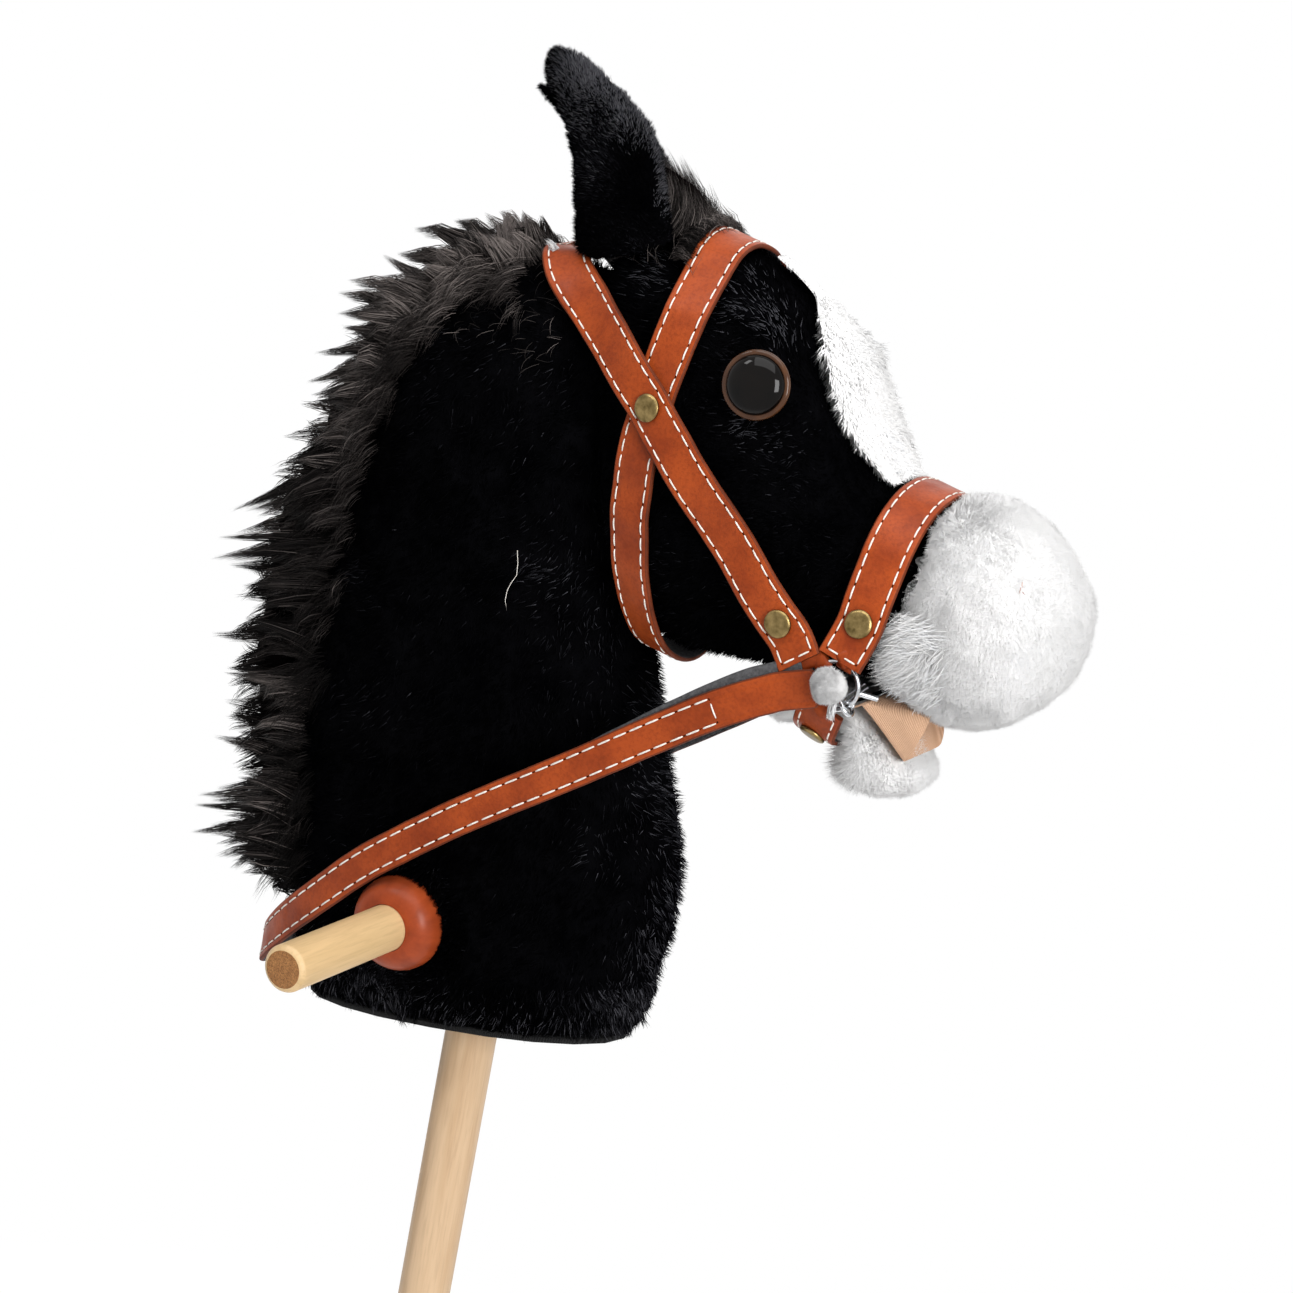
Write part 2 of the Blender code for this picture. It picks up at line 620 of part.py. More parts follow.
def build_handle(stick):
    """The cross bar behind the stick, its bolt, washer and nut, and the two domed collars."""
    half = LEFTWARD * HANDLE_LENGTH / 2
    middle = Vector((HANDLE_X, 0, 0))
    bar = rod("handle_bar", HANDLE_DIAMETER / 2, middle - half, middle + half, HANDLE_WOOD,
              chamfer=HANDLE_CHAMFER)

    back = HANDLE_X - HANDLE_DIAMETER / 2 - GAP
    front = STICK_DIAMETER / 2 + GAP
    shank_end = front + WASHER_THICKNESS + GAP + NUT_HEIGHT + BOLT_TAIL
    shank, head = BOLT_DIAMETER / 2, BOLT_HEAD_DIAMETER / 2
    length = BOLT_HEAD_HEIGHT + shank_end - back
    profile = [(0, 0), (head * BOLT_HEAD_TOP, 0), (head, BOLT_HEAD_HEIGHT / 2), (head, BOLT_HEAD_HEIGHT),
               (shank, BOLT_HEAD_HEIGHT), (shank, length), (0, length)]
    bolt_start = (back - BOLT_HEAD_HEIGHT, 0, 0)
    turned("handle_bolt", profile, bolt_start, (1, 0, 0), STEEL, sides=SMALL_SIDES)
    drill = rod("bolt_room", shank + PIN_GAP, (back - HOLE_PAST, 0, 0), (front + HOLE_PAST, 0, 0), NYLON,
                sides=SMALL_SIDES)
    cut(bar, drill)
    cut(stick, drill)
    pocket = rod("bolt_pocket", WASHER_DIAMETER / 2 + POCKET_ROOM,
                 (back - BOLT_HEAD_HEIGHT - POCKET_ROOM, 0, 0), (shank_end + POCKET_ROOM, 0, 0), NYLON,
                 sides=SMALL_SIDES)

    inner, outer = shank + PIN_GAP, WASHER_DIAMETER / 2
    washer = [(inner, 0), (outer, 0), (outer, WASHER_THICKNESS), (inner, WASHER_THICKNESS)]
    turned("bolt_washer", washer, (front, 0, 0), (1, 0, 0), STEEL, sides=SMALL_SIDES, closed=True)
    build_nut(front + WASHER_THICKNESS + GAP)

    bore, rim = HANDLE_DIAMETER / 2 + GAP, COLLAR_DIAMETER / 2
    reach, edge = COLLAR_SEAT_Y + COLLAR_HEIGHT, COLLAR_SEAT_Y - GAP
    steps = [(0, -reach), (rim + GAP, -reach), (rim + GAP, -edge), (bore, -edge),
             (bore, edge), (rim + GAP, edge), (rim + GAP, reach), (0, reach)]
    room = turned("handle_room", steps, middle, LEFTWARD, NYLON)
    for side_name, side in SIDES:
        seat = Vector((HANDLE_X, side * COLLAR_SEAT_Y, 0))
        dome = [(bore, 0), (rim, 0), (rim, COLLAR_RIM)]
        for k in range(1, DOME_STEPS + 1):
            turn = math.pi / 2 * k / DOME_STEPS
            radius = bore + (rim - bore) * math.cos(turn)
            dome.append((radius, COLLAR_RIM + (COLLAR_HEIGHT - COLLAR_RIM) * math.sin(turn)))
        turned(f"handle_collar_{side_name}", dome, seat, (0, side, 0), BROWN_LACQUER, closed=True)
    return hidden(room), hidden(pocket)


def build_nut(start):
    """The hexagon nut on the handle's bolt."""
    inner, outer = BOLT_DIAMETER / 2 + PIN_GAP, NUT_ACROSS_CORNERS / 2
    sides = SMALL_SIDES
    vertices, faces = [], []
    for x in (start, start + NUT_HEIGHT):
        for radius, is_hex in ((inner, False), (outer, True)):
            for j in range(sides):
                turn = math.tau * j / sides
                r = radius * (math.cos(math.pi / 6) if is_hex and j % 2 else 1)
                vertices.append(Vector((x, r * math.cos(turn), r * math.sin(turn))))
    for j in range(sides):
        k = (j + 1) % sides
        a, b, c, d = 0, sides, 2 * sides, 3 * sides
        faces += [(a + j, a + k, b + k, b + j), (c + j, d + j, d + k, c + k),
                  (b + j, b + k, d + k, d + j), (a + j, c + j, c + k, a + k)]
    solid("bolt_nut", vertices, faces, STEEL)


def build_plush(stick_room, handle_room, pocket):
    """The stuffed forms. A smaller one is cut by the larger ones that it meets."""
    neck = swollen("neck", NECK, BLACK_PLUSH)
    head = swollen("head", HEAD, BLACK_PLUSH)
    muzzle = swollen("muzzle", MUZZLE, WHITE_PLUSH)
    jaw = swollen("lower_jaw", JAW, WHITE_PLUSH)
    for cutter in (stick_room, handle_room, pocket):
        cut(neck, cutter)
    neck_room, head_room, muzzle_room = grown(neck, GAP), grown(head, GAP), grown(muzzle, GAP)
    cut(head, neck_room)
    cut(muzzle, head_room)
    for cutter in (head_room, muzzle_room):
        cut(jaw, cutter)
    return neck, head, muzzle, jaw, neck_room, head_room


def build_base_panel(stick_room):
    """The cloth panel that closes the neck round the stick."""
    rows = as_rows(NECK)
    point = section(rows, 0)
    ring = [point(math.tau * j / FORM_SIDES) for j in range(FORM_SIDES)]
    centre = sum(ring, Vector()) / FORM_SIDES
    hem = Vector((NECK[0][1][0] - NECK[0][0][0], 0, NECK[0][1][1] - NECK[0][0][1]))
    down = hem.cross(LEFTWARD).normalized()
    down = down if down.z < 0 else -down
    rings = [[centre + (p - centre) * PANEL_SHARE + down * drop for p in ring]
             for drop in (GAP, GAP + PANEL_THICKNESS)]
    panel = solid("base_panel", *skin(rings), BASE_CLOTH)
    cut(panel, stick_room)


def build_ears_and_mane(neck_room, head_room):
    ears = []
    for side_name, side in SIDES:
        def lean(share, side=side):
            back = LEFT_EAR_SET_BACK + LEFT_EAR_LEAN * share if side > 0 else 0.0
            drop = LEFT_EAR_DROP * share if side > 0 else 0.0
            return Vector((-back, side * (EAR_ROOT_Y + (EAR_TIP_Y - EAR_ROOT_Y) * share), -drop))
        ear = swollen(f"ear_{side_name}", EAR, BLACK_PLUSH, sides=SMALL_FORM_SIDES, shift=lean)
        cut(ear, head_room)
        cut(ear, neck_room)
        ears.append(ear)
    mane = swollen("mane", MANE, MANE_HAIR, sides=SMALL_FORM_SIDES)
    cut(mane, neck_room)
    forelock = swollen("forelock", FORELOCK, MANE_HAIR, sides=SMALL_FORM_SIDES)
    cut(forelock, head_room)
    cut(forelock, neck_room)
    return ears


def build_blaze():
    """The white strip of plush down the face, on the head's own surface."""
    rows = as_rows(HEAD)
    marks = np.array(BLAZE)
    lengthwise, crosswise = BLAZE_STEPS, BLAZE_ROWS
    inner, outer = [], []
    for i in range(lengthwise + 1):
        at = marks[0, 0] + (marks[-1, 0] - marks[0, 0]) * i / lengthwise
        half = float(np.interp(at, marks[:, 0], marks[:, 1]))
        point = section(rows, at)
        spread = math.asin((half / smooth_row(rows, at)[4]) ** (ROUNDNESS / 2))
        before, after = section(rows, at - NUDGE), section(rows, at + NUDGE)
        for j in range(crosswise + 1):
            angle = spread * (2 * j / crosswise - 1)
            along = after(angle) - before(angle)
            aside = point(angle + NUDGE) - point(angle - NUDGE)
            normal = along.cross(aside).normalized()
            normal = normal if normal.dot(point(angle) - (point(0) + point(math.pi)) / 2) > 0 else -normal
            inner.append(point(angle) + normal * BLAZE_LIFT)
            outer.append(point(angle) + normal * (BLAZE_LIFT + BLAZE_THICKNESS))
    across = crosswise + 1
    faces = []
    for i in range(lengthwise):
        for j in range(crosswise):
            a = i * across + j
            quad = (a, a + 1, a + across + 1, a + across)
            faces += [quad, tuple(len(inner) + q for q in quad[::-1])]
    rim = [j for j in range(across)] + [i * across + crosswise for i in range(1, lengthwise + 1)]
    rim += [lengthwise * across + j for j in range(crosswise - 1, -1, -1)]
    rim += [i * across for i in range(lengthwise - 1, 0, -1)]
    for a, b in zip(rim, rim[1:] + rim[:1]):
        faces.append((a, b, b + len(inner), a + len(inner)))
    solid("blaze", inner + outer, faces, WHITE_PLUSH)


def build_lining():
    """The folded peach cloth inside the open mouth."""
    stations = []
    places = [Vector((x, 0, z)) for (x, z), _ in LINING]
    for i, (place, (_, half)) in enumerate(zip(places, LINING)):
        along = places[min(i + 1, len(places) - 1)] - places[max(i - 1, 0)]
        normal = along.cross(LEFTWARD).normalized()
        stations.append((place, normal, LEFTWARD, 2 * half, LINING_THICKNESS))
    ribbon("mouth_lining", stations, PEACH_CLOTH)


def eye_axis(side):
    """The outward direction of an eye."""
    return Vector((math.sin(EYE_FORWARD_TURN), side * math.cos(EYE_FORWARD_TURN),
                   math.tan(EYE_UPWARD_TURN))).normalized()


def build_eyes(head):
    """Domed eyes, each with a stem through the plush and a lock washer behind it."""
    radius, stem = EYE_DIAMETER / 2, EYE_STEM_DIAMETER / 2
    for side_name, side in SIDES:
        x, y, z = EYE_PLACE
        seat, axis = Vector((x, side * y, z)), eye_axis(side)
        profile = [(0, -EYE_STEM_LENGTH), (stem - EYE_STEM_CHAMFER, -EYE_STEM_LENGTH),
                   (stem, EYE_STEM_CHAMFER - EYE_STEM_LENGTH), (stem, 0)]
        profile += [(radius * share, EYE_RIM_HEIGHT * level) for share, level in EYE_RIM]
        for k in range(1, DOME_STEPS + 1):
            turn = math.pi / 2 * k / DOME_STEPS
            height = EYE_RIM_HEIGHT + (EYE_DOME_HEIGHT - EYE_RIM_HEIGHT) * math.sin(turn)
            profile.append((radius * EYE_DOME_SHARE * math.cos(turn) if k < DOME_STEPS else 0, height))
        turned(f"eye_{side_name}", profile, seat, axis, EYE_GLAZE)
        lock = [(stem + PIN_GAP, 0), (EYE_LOCK_DIAMETER / 2, 0),
                (EYE_LOCK_DIAMETER / 2, EYE_LOCK_THICKNESS), (stem + PIN_GAP, EYE_LOCK_THICKNESS)]
        lock_seat = seat - axis * EYE_LOCK_DEPTH
        turned(f"eye_lock_{side_name}", lock, lock_seat, axis, NYLON, sides=SMALL_SIDES, closed=True)
        bore, lock_bore = stem + 2 * GAP, EYE_LOCK_DIAMETER / 2 + GAP
        lock_back, lock_front = -EYE_LOCK_DEPTH - GAP, -EYE_LOCK_DEPTH + EYE_LOCK_THICKNESS + GAP
        depth, clear = -EYE_STEM_LENGTH - 2 * GAP, 2 * EYE_DOME_HEIGHT
        room = [(0, depth), (bore, depth), (bore, lock_back), (lock_bore, lock_back),
                (lock_bore, lock_front), (bore, lock_front), (bore, -GAP), (radius + GAP, -GAP),
                (radius + GAP, clear), (0, clear)]
        cut(head, turned(f"eye_room_{side_name}", room, seat, axis, NYLON))


def rivet(name, middle, normal, plies, backing):
    """A capped rivet through its straps, with a back plate sunk into the plush."""
    outer = STRAP_THICKNESS / 2 + GAP
    inner = -STRAP_THICKNESS / 2 - GAP - (plies - 1) * (STRAP_THICKNESS + LEATHER_GAP + 2 * GAP)
    post, cap, back = POST_DIAMETER / 2, CAP_DIAMETER / 2, BACK_DIAMETER / 2
    profile = [(0, inner - BACK_THICKNESS), (back, inner - BACK_THICKNESS), (back, inner), (post, inner),
               (post, outer), (cap, outer), (cap, outer + CAP_HEIGHT * CAP_EDGE),
               (cap * CAP_TOP, outer + CAP_HEIGHT), (0, outer + CAP_HEIGHT)]
    turned(name, profile, middle, normal, BRASS, sides=SMALL_SIDES)
    room = rod(name + "_seat", back + GAP, middle + normal * (inner - BACK_THICKNESS - GAP),
               middle + normal * (inner + SEAT_DEPTH), NYLON, sides=SMALL_SIDES)
    for form in backing:
        cut(form, room)
    hidden(room)
    low, high = inner - BACK_THICKNESS - HOLE_PAST, outer + CAP_HEIGHT + HOLE_PAST
    under, over = inner + SPOT_FACE * GAP, outer - SPOT_FACE * GAP
    hole = [(0, low), (back + GAP, low), (back + GAP, under), (post + PIN_GAP, under),
            (post + PIN_GAP, over), (cap + GAP, over), (cap + GAP, high), (0, high)]
    return hidden(turned(name + "_hole", hole, middle, normal, NYLON, sides=SMALL_SIDES))


def build_rings(forms):
    """Bit rings, the mouth bar with an eyelet round each ring, and the pompons."""
    x, y, z = RING_CENTRE
    channels, pompons = {}, {}
    for side_name, side in SIDES:
        centre = Vector((x, side * y, z))
        torus(f"bit_ring_{side_name}", centre, LEFTWARD, RING_RADIUS, RING_WIRE, CHROME, origin=centre)
        channels[side] = hidden(torus(f"ring_channel_{side_name}", centre, LEFTWARD, RING_RADIUS,
                                      RING_WIRE + 2 * PIN_GAP, NYLON))
        radius = POMPON_DIAMETER / 2
        seat = FOLD_THICKNESS / 2 + GAP
        root = RING_RADIUS - RING_WIRE / 2 - PIN_GAP - FOLD_WALL - GAP
        low = math.acos((POMPON_OUTWARD - seat) / radius)
        ball = [(0, -seat), (root, -seat), (root, seat)]
        for k in range(POMPON_BANDS + 1):
            turn = low + (math.pi - low) * k / POMPON_BANDS
            flat = radius * math.sin(turn) if k < POMPON_BANDS else 0
            ball.append((flat, POMPON_OUTWARD - radius * math.cos(turn)))
        pompons[side] = turned(f"pompon_{side_name}", ball, centre, (0, side, 0), WHITE_PLUSH,
                               sides=SMALL_SIDES)

    radial = Vector((math.cos(BAR_ANGLE), 0, math.sin(BAR_ANGLE)))
    tangent = radial.cross(LEFTWARD)
    reach = y - EYELET_RADIUS
    at = ring_point(BAR_ANGLE, 1)
    start, end = Vector((at.x, -reach, at.z)), Vector((at.x, reach, at.z))
    bar = rod("bit_bar", BAR_DIAMETER / 2, start, end, CHROME, sides=SMALL_SIDES)
    bar_room = rod("bar_room", BAR_DIAMETER / 2 + 2 * GAP, start, end, NYLON, sides=SMALL_SIDES)
    for form in forms:
        cut(form, bar_room)
    for side_name, side in SIDES:
        eyelet = torus(f"bit_eyelet_{side_name}", ring_point(BAR_ANGLE, side), tangent, EYELET_RADIUS,
                       EYELET_WIRE, CHROME, steps=SMALL_SIDES)
        cut(bar, eyelet, "UNION")
        room = torus(f"eyelet_room_{side_name}", ring_point(BAR_ANGLE, side), tangent, EYELET_RADIUS,
                     EYELET_WIRE + 2 * GAP, CHROME, steps=SMALL_SIDES)
        cut(pompons[side], room)
    return channels


def both_halves(half_right, half_left):
    """One run of stations from the right end, over the top, to the left end."""
    return half_right + half_left[::-1][1:]


def ringed(name, strap, angle):
    """An open strap with its ends folded round both rings."""
    halves = []
    for side in (-1, 1):
        rows = strap.stations(side)
        halves.append(tab(angle, side, rows[0][2], TAB_WIDTH) + rows)
    return ribbon(name, both_halves(*halves), LEATHER)


def build_straps(neck, head, muzzle, jaw, ears, channels):
    brow = Strap([head], BROW_ROUTE, closed=True)
    loop = both_halves(brow.stations(-1), brow.stations(1))
    brow_strap = ribbon("brow_throat_strap", loop[:-1], LEATHER, closed=True)
    cut(neck, grown(brow_strap, STRAP_ROOM))

    over_brow = (CROSSING, HUMP_REACH * STRAP_WIDTH, STRAP_THICKNESS + LEATHER_GAP, brow_strap)
    crown = Strap([neck, head], CROWN_ROUTE, free=4, over=over_brow)
    crown_strap = ringed("crown_strap", crown, CROWN_TAB_ANGLE)
    nose = Strap([head], NOSE_ROUTE, free=3)
    noseband = ringed("noseband", nose, NOSE_TAB_ANGLE)
    cut(muzzle, grown(noseband, STRAP_ROOM))
    chin = Strap([jaw], CHIN_ROUTE, free=2, level=True)
    chin_strap = ringed("chin_strap", chin, CHIN_TAB_ANGLE)
    cut(jaw, grown(chin_strap, STRAP_ROOM))
    crown_room = grown(crown_strap, STRAP_ROOM)
    for form in (neck, *ears):
        cut(form, crown_room)

    for strap in (crown_strap, noseband, chin_strap):
        for channel in channels.values():
            cut(strap, channel)

    for side_name, side in SIDES:
        studs = (
            (f"rivet_crossing_{side_name}", crown, CROSSING, (crown_strap, brow_strap), (head, neck), 2),
            (f"rivet_cheek_{side_name}", crown, CHEEK_RIVET, (crown_strap,), (head,), 1),
            (f"rivet_nose_{side_name}", nose, NOSE_RIVET, (noseband,), (head, muzzle), 1),
            (f"rivet_chin_{side_name}", chin, CHIN_RIVET, (chin_strap,), (jaw,), 1),
        )
        for name, band, target, straps, backing, plies in studs:
            middle, normal = band.stud(target, side)
            hole = rivet(name, middle, normal, plies, backing)
            for strap in straps:
                cut(strap, hole)


def rein_stations(side):
    """Half of the rein, from its fold round the ring to the back of the neck."""
    start = ring_point(REIN_TAB_ANGLE, side, RING_RADIUS + REIN_START)
    places = [Vector((start.x, side * REIN[0][1], start.z))]
    places += [Vector((x, side * y, z)) for x, y, z in REIN]
    rows = [np.array(p) for p in places]
    count = (len(rows) - 1) * REIN_STEPS + 1
    line = [Vector(smooth_row(rows, k / REIN_STEPS)) for k in range(count)]
    stations = []
    for i, place in enumerate(line):
        along = (line[min(i + 1, len(line) - 1)] - line[max(i - 1, 0)]).normalized()
        outward = Vector((min(place.x, 0), side, 0))
        normal = along.cross(UP).normalized()
        if i == len(line) - 1:
            along, normal = LEFTWARD * -side, Vector((-1, 0, 0))
        elif normal.dot(outward) < 0:
            normal = -normal
        across = along.cross(normal).normalized()
        across = across if across.z > 0 else -across
        share = min(1.0, i / REIN_STEPS)
        width = REIN_TAB_WIDTH + (REIN_WIDTH - REIN_TAB_WIDTH) * share
        stations.append((place, normal, across, width, REIN_THICKNESS))
    ends = tab(REIN_TAB_ANGLE, side, UP, REIN_TAB_WIDTH)
    return ends + stations[1:]


def build_rein(channels):
    """One strap from ring to ring, round the back of the neck above the handle."""
    stations = both_halves(rein_stations(-1), rein_stations(1))
    rein = ribbon("rein", stations, LEATHER, origin=(RING_CENTRE[0], 0, RING_CENTRE[2]))
    for channel in channels.values():
        cut(rein, channel)


def main():
    clear_scene()
    stick, stick_room = build_stick()
    handle_room, pocket = build_handle(stick)
    neck, head, muzzle, jaw, neck_room, head_room = build_plush(stick_room, handle_room, pocket)
    build_base_panel(stick_room)
    ears = build_ears_and_mane(neck_room, head_room)
    build_blaze()
    build_lining()
    build_eyes(head)
    channels = build_rings((head, muzzle, jaw))
    build_straps(neck, head, muzzle, jaw, ears, channels)
    build_rein(channels)


main()
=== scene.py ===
import itertools
import math

import bmesh
import bpy
import numpy as np
from mathutils import Matrix, Vector
from mathutils.bvhtree import BVHTree
from mathutils.kdtree import KDTree


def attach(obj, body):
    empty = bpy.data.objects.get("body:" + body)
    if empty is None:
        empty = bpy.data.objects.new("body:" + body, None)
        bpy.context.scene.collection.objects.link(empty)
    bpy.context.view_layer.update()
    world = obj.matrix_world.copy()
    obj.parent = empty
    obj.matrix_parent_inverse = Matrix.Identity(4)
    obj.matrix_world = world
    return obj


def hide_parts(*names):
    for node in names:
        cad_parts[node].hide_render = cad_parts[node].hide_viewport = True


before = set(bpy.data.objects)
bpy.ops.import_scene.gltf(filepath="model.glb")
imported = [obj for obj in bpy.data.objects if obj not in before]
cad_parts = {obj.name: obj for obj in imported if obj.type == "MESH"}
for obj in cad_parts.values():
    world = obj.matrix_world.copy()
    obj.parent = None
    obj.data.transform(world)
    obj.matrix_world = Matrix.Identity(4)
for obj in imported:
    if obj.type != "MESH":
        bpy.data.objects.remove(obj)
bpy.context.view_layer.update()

# Sizes repeated from the part
STRAP_WIDTH, REIN_WIDTH, THICKNESS = 0.0215, 0.017, 0.0024
TAB_WIDTH, FOLD_THICKNESS = 0.0060, 0.0048
RING_CENTRE = Vector((0.170, 0.0525, 0.176))
RING_RADIUS, RING_WIRE = 0.0105, 0.0026
BAR_ANGLE = math.radians(-48)
EYE_PLACE = Vector((0.106, 0.0505, 0.291))
HANDLE_X = -0.0238
SIDES = (("right", -1), ("left", 1))
UP, LEFTWARD = Vector((0, 0, 1)), Vector((0, 1, 0))


# Shaders

def tree_of(name, roughness, colour, **sockets):
    """A new Principled material and its nodes; sockets are set directly, with _ for a space in their names."""
    made = bpy.data.materials.new(name)
    made.use_nodes = True
    shader = made.node_tree.nodes["Principled BSDF"]
    shader.inputs["Base Color"].default_value = (*colour, 1)
    shader.inputs["Roughness"].default_value = roughness
    for key, value in sockets.items():
        shader.inputs[key.replace("_", " ")].default_value = value
    made.diffuse_color = (*colour, 1)
    return made, made.node_tree


def linked(made, **sockets):
    """Links what drives the sockets of a material's shader."""
    tree = made.node_tree
    for key, value in sockets.items():
        tree.links.new(value, tree.nodes["Principled BSDF"].inputs[key.replace("_", " ")])
    return made


def node(tree, kind, settings=None, **inputs):
    """A shader node; an input that is a socket is linked, and any other is a value."""
    made = tree.nodes.new(kind)
    for key, value in (settings or {}).items():
        setattr(made, key, value)
    for key, value in inputs.items():
        socket = made.inputs[int(key[1:]) if key[1:].isdigit() else key.replace("_", " ")]
        if isinstance(value, bpy.types.NodeSocket):
            tree.links.new(value, socket)
        else:
            socket.default_value = value
    return made


def ramp(tree, factor, *stops):
    """A colour ramp through (place, colour) stops."""
    made = node(tree, "ShaderNodeValToRGB", Fac=factor)
    band = made.color_ramp
    while len(band.elements) < len(stops):
        band.elements.new(0.5)
    for element, (place, colour) in zip(band.elements, stops):
        element.position = place
        element.color = (*colour, 1) if len(colour) == 3 else colour
    return made.outputs["Color"]


def grey(value):
    return (value, value, value)


def dimmed(colour, by):
    return tuple(part * by for part in colour)


def coordinates(tree, scale=(1, 1, 1), **mapping):
    place = node(tree, "ShaderNodeTexCoord").outputs["Object"]
    return node(tree, "ShaderNodeMapping", Vector=place, Scale=scale, **mapping).outputs["Vector"]


def noise(tree, place, scale, detail=3.0, rough=0.55):
    made = node(tree, "ShaderNodeTexNoise", Vector=place, Scale=scale, Detail=detail, Roughness=rough)
    return made.outputs["Fac"]


def mixed(tree, factor, first, second):
    made = node(tree, "ShaderNodeMix", {"data_type": "RGBA"})
    for index, value in ((0, factor), (6, first), (7, second)):
        if isinstance(value, bpy.types.NodeSocket):
            tree.links.new(value, made.inputs[index])
        else:
            made.inputs[index].default_value = value if index == 0 else (*value, 1)
    return made.outputs[2]


def specked(tree, colour, pattern, low, high, share, tone):
    """Mixes a share of a tone into a colour where a pattern is low, and none where it is high."""
    return mixed(tree, ramp(tree, pattern, (low, grey(share)), (high, grey(0.0))), colour, tone)


def bump(tree, height, strength, distance, **under):
    made = node(tree, "ShaderNodeBump", Height=height, Strength=strength, Distance=distance, **under)
    return made.outputs["Normal"]


def plush_backing(name, dark, light):
    """The woven ground under a pile, mottled by the way that the pile lies."""
    made, tree = tree_of(name, 0.9, light, Specular_IOR_Level=0.0)
    patches = noise(tree, coordinates(tree), 60, 4)
    fibres = noise(tree, coordinates(tree, (1, 1, 0.35)), 900, 2)
    return linked(made, Base_Color=ramp(tree, patches, (0.35, dark), (0.7, light)),
                  Normal=bump(tree, fibres, 0.8, 0.0012))


def fibre(name, colour, roughness=0.9, specular=0.0):
    """One tone of pile or thread. The tones are mixed strand by strand."""
    return tree_of(name, roughness, colour, Specular_IOR_Level=specular)[0]


def leather(name, dark, light, roughness=0.44, coat=0.04):
    """Smooth saddle leather: mottled dye, pores, fine creases across, and handling shine."""
    made, tree = tree_of(name, roughness, light, Specular_IOR_Level=0.14, Coat_Weight=coat, Coat_Roughness=0.3)
    place = coordinates(tree)
    colour = ramp(tree, noise(tree, place, 45, 5, 0.6), (0.30, dark), (0.62, light))
    colour = specked(tree, colour, noise(tree, place, 700, 3), 0.30, 0.55, 0.35, dimmed(dark, 0.55))
    pores = node(tree, "ShaderNodeTexVoronoi", Vector=place, Scale=1500).outputs["Distance"]
    creases = noise(tree, coordinates(tree, (1, 1, 0.25)), 420, 4)
    normal = bump(tree, creases, 0.18, 0.0006, Normal=bump(tree, pores, 0.12, 0.0003))
    rough = ramp(tree, noise(tree, place, 120, 4), (0.3, grey(roughness - 0.10)), (0.7, grey(roughness + 0.12)))
    return linked(made, Base_Color=colour, Normal=normal, Roughness=rough)


def suede(name, dark, light):
    """Rough napped leather, thread or nylon."""
    made, tree = tree_of(name, 0.95, light, Specular_IOR_Level=0.2)
    place = coordinates(tree)
    return linked(made, Base_Color=ramp(tree, noise(tree, place, 500, 5, 0.7), (0.3, dark), (0.7, light)),
                  Normal=bump(tree, noise(tree, place, 1800, 3), 0.6, 0.0005))


def wood(name, axis, dark, light, roughness, coat):
    """Pale turned wood with the grain along an axis: soft bands, fine vessels and small flecks."""
    made, tree = tree_of(name, roughness, light, Specular_IOR_Level=0.4, Coat_Weight=coat, Coat_Roughness=0.25)

    def stretched(by):
        return coordinates(tree, tuple(by if i == axis else 1.0 for i in range(3)))

    place = stretched(0.06)
    bands, fine = noise(tree, place, 130, 4, 0.6), noise(tree, place, 900, 3)
    colour = ramp(tree, bands, (0.30, dark), (0.52, light), (0.75, dimmed(light, 1.12)))
    colour = specked(tree, colour, fine, 0.33, 0.5, 0.25, dimmed(dark, 0.72))
    colour = specked(tree, colour, noise(tree, stretched(0.35), 75, 2), 0.22, 0.27, 0.7, dimmed(dark, 0.35))
    return linked(made, Base_Color=colour, Normal=bump(tree, fine, 0.12, 0.0004),
                  Roughness=ramp(tree, bands, (0.3, grey(roughness + 0.1)), (0.7, grey(roughness - 0.06))))


def end_grain(name, centre, axis, dark, light):
    """Sawn end grain: growth rings about a heart outside the dowel, and open pores."""
    made, tree = tree_of(name, 0.62, light, Specular_IOR_Level=0.3)
    place = coordinates(tree, Location=dimmed(centre, -1))
    flat = tuple(0.0 if i == axis else 1.0 for i in range(3))
    place = node(tree, "ShaderNodeMapping", Vector=place, Scale=flat).outputs["Vector"]
    rings = node(tree, "ShaderNodeTexWave", {"wave_type": "RINGS", "rings_direction": "SPHERICAL"},
                 Vector=place, Scale=75, Distortion=3.0, Detail=3.0, Detail_Scale=2.0).outputs["Fac"]
    pores, stains = noise(tree, place, 1400, 4, 0.7), noise(tree, place, 330, 5, 0.7)
    colour = mixed(tree, 0.22, ramp(tree, stains, (0.35, dark), (0.65, light)),
                   ramp(tree, rings, (0.1, dark), (0.8, light)))
    colour = specked(tree, colour, pores, 0.35, 0.55, 0.9, dimmed(dark, 0.4))
    return linked(made, Base_Color=colour, Normal=bump(tree, pores, 0.5, 0.0006))


def metal(name, dark, light, roughness, wear_scale=260, streak=0.1):
    """Metal with a patchy patina and fine rub marks."""
    made, tree = tree_of(name, roughness, light, Metallic=1.0)
    patina = ramp(tree, noise(tree, coordinates(tree), wear_scale, 4, 0.6), (0.32, dark), (0.66, light))
    rubs = noise(tree, coordinates(tree, (1, 0.15, 1)), 2200, 2)
    rough = ramp(tree, rubs, (0.3, grey(roughness)), (0.7, grey(roughness + streak)))
    return linked(made, Base_Color=patina, Roughness=rough, Normal=bump(tree, rubs, 0.08, 0.0002))


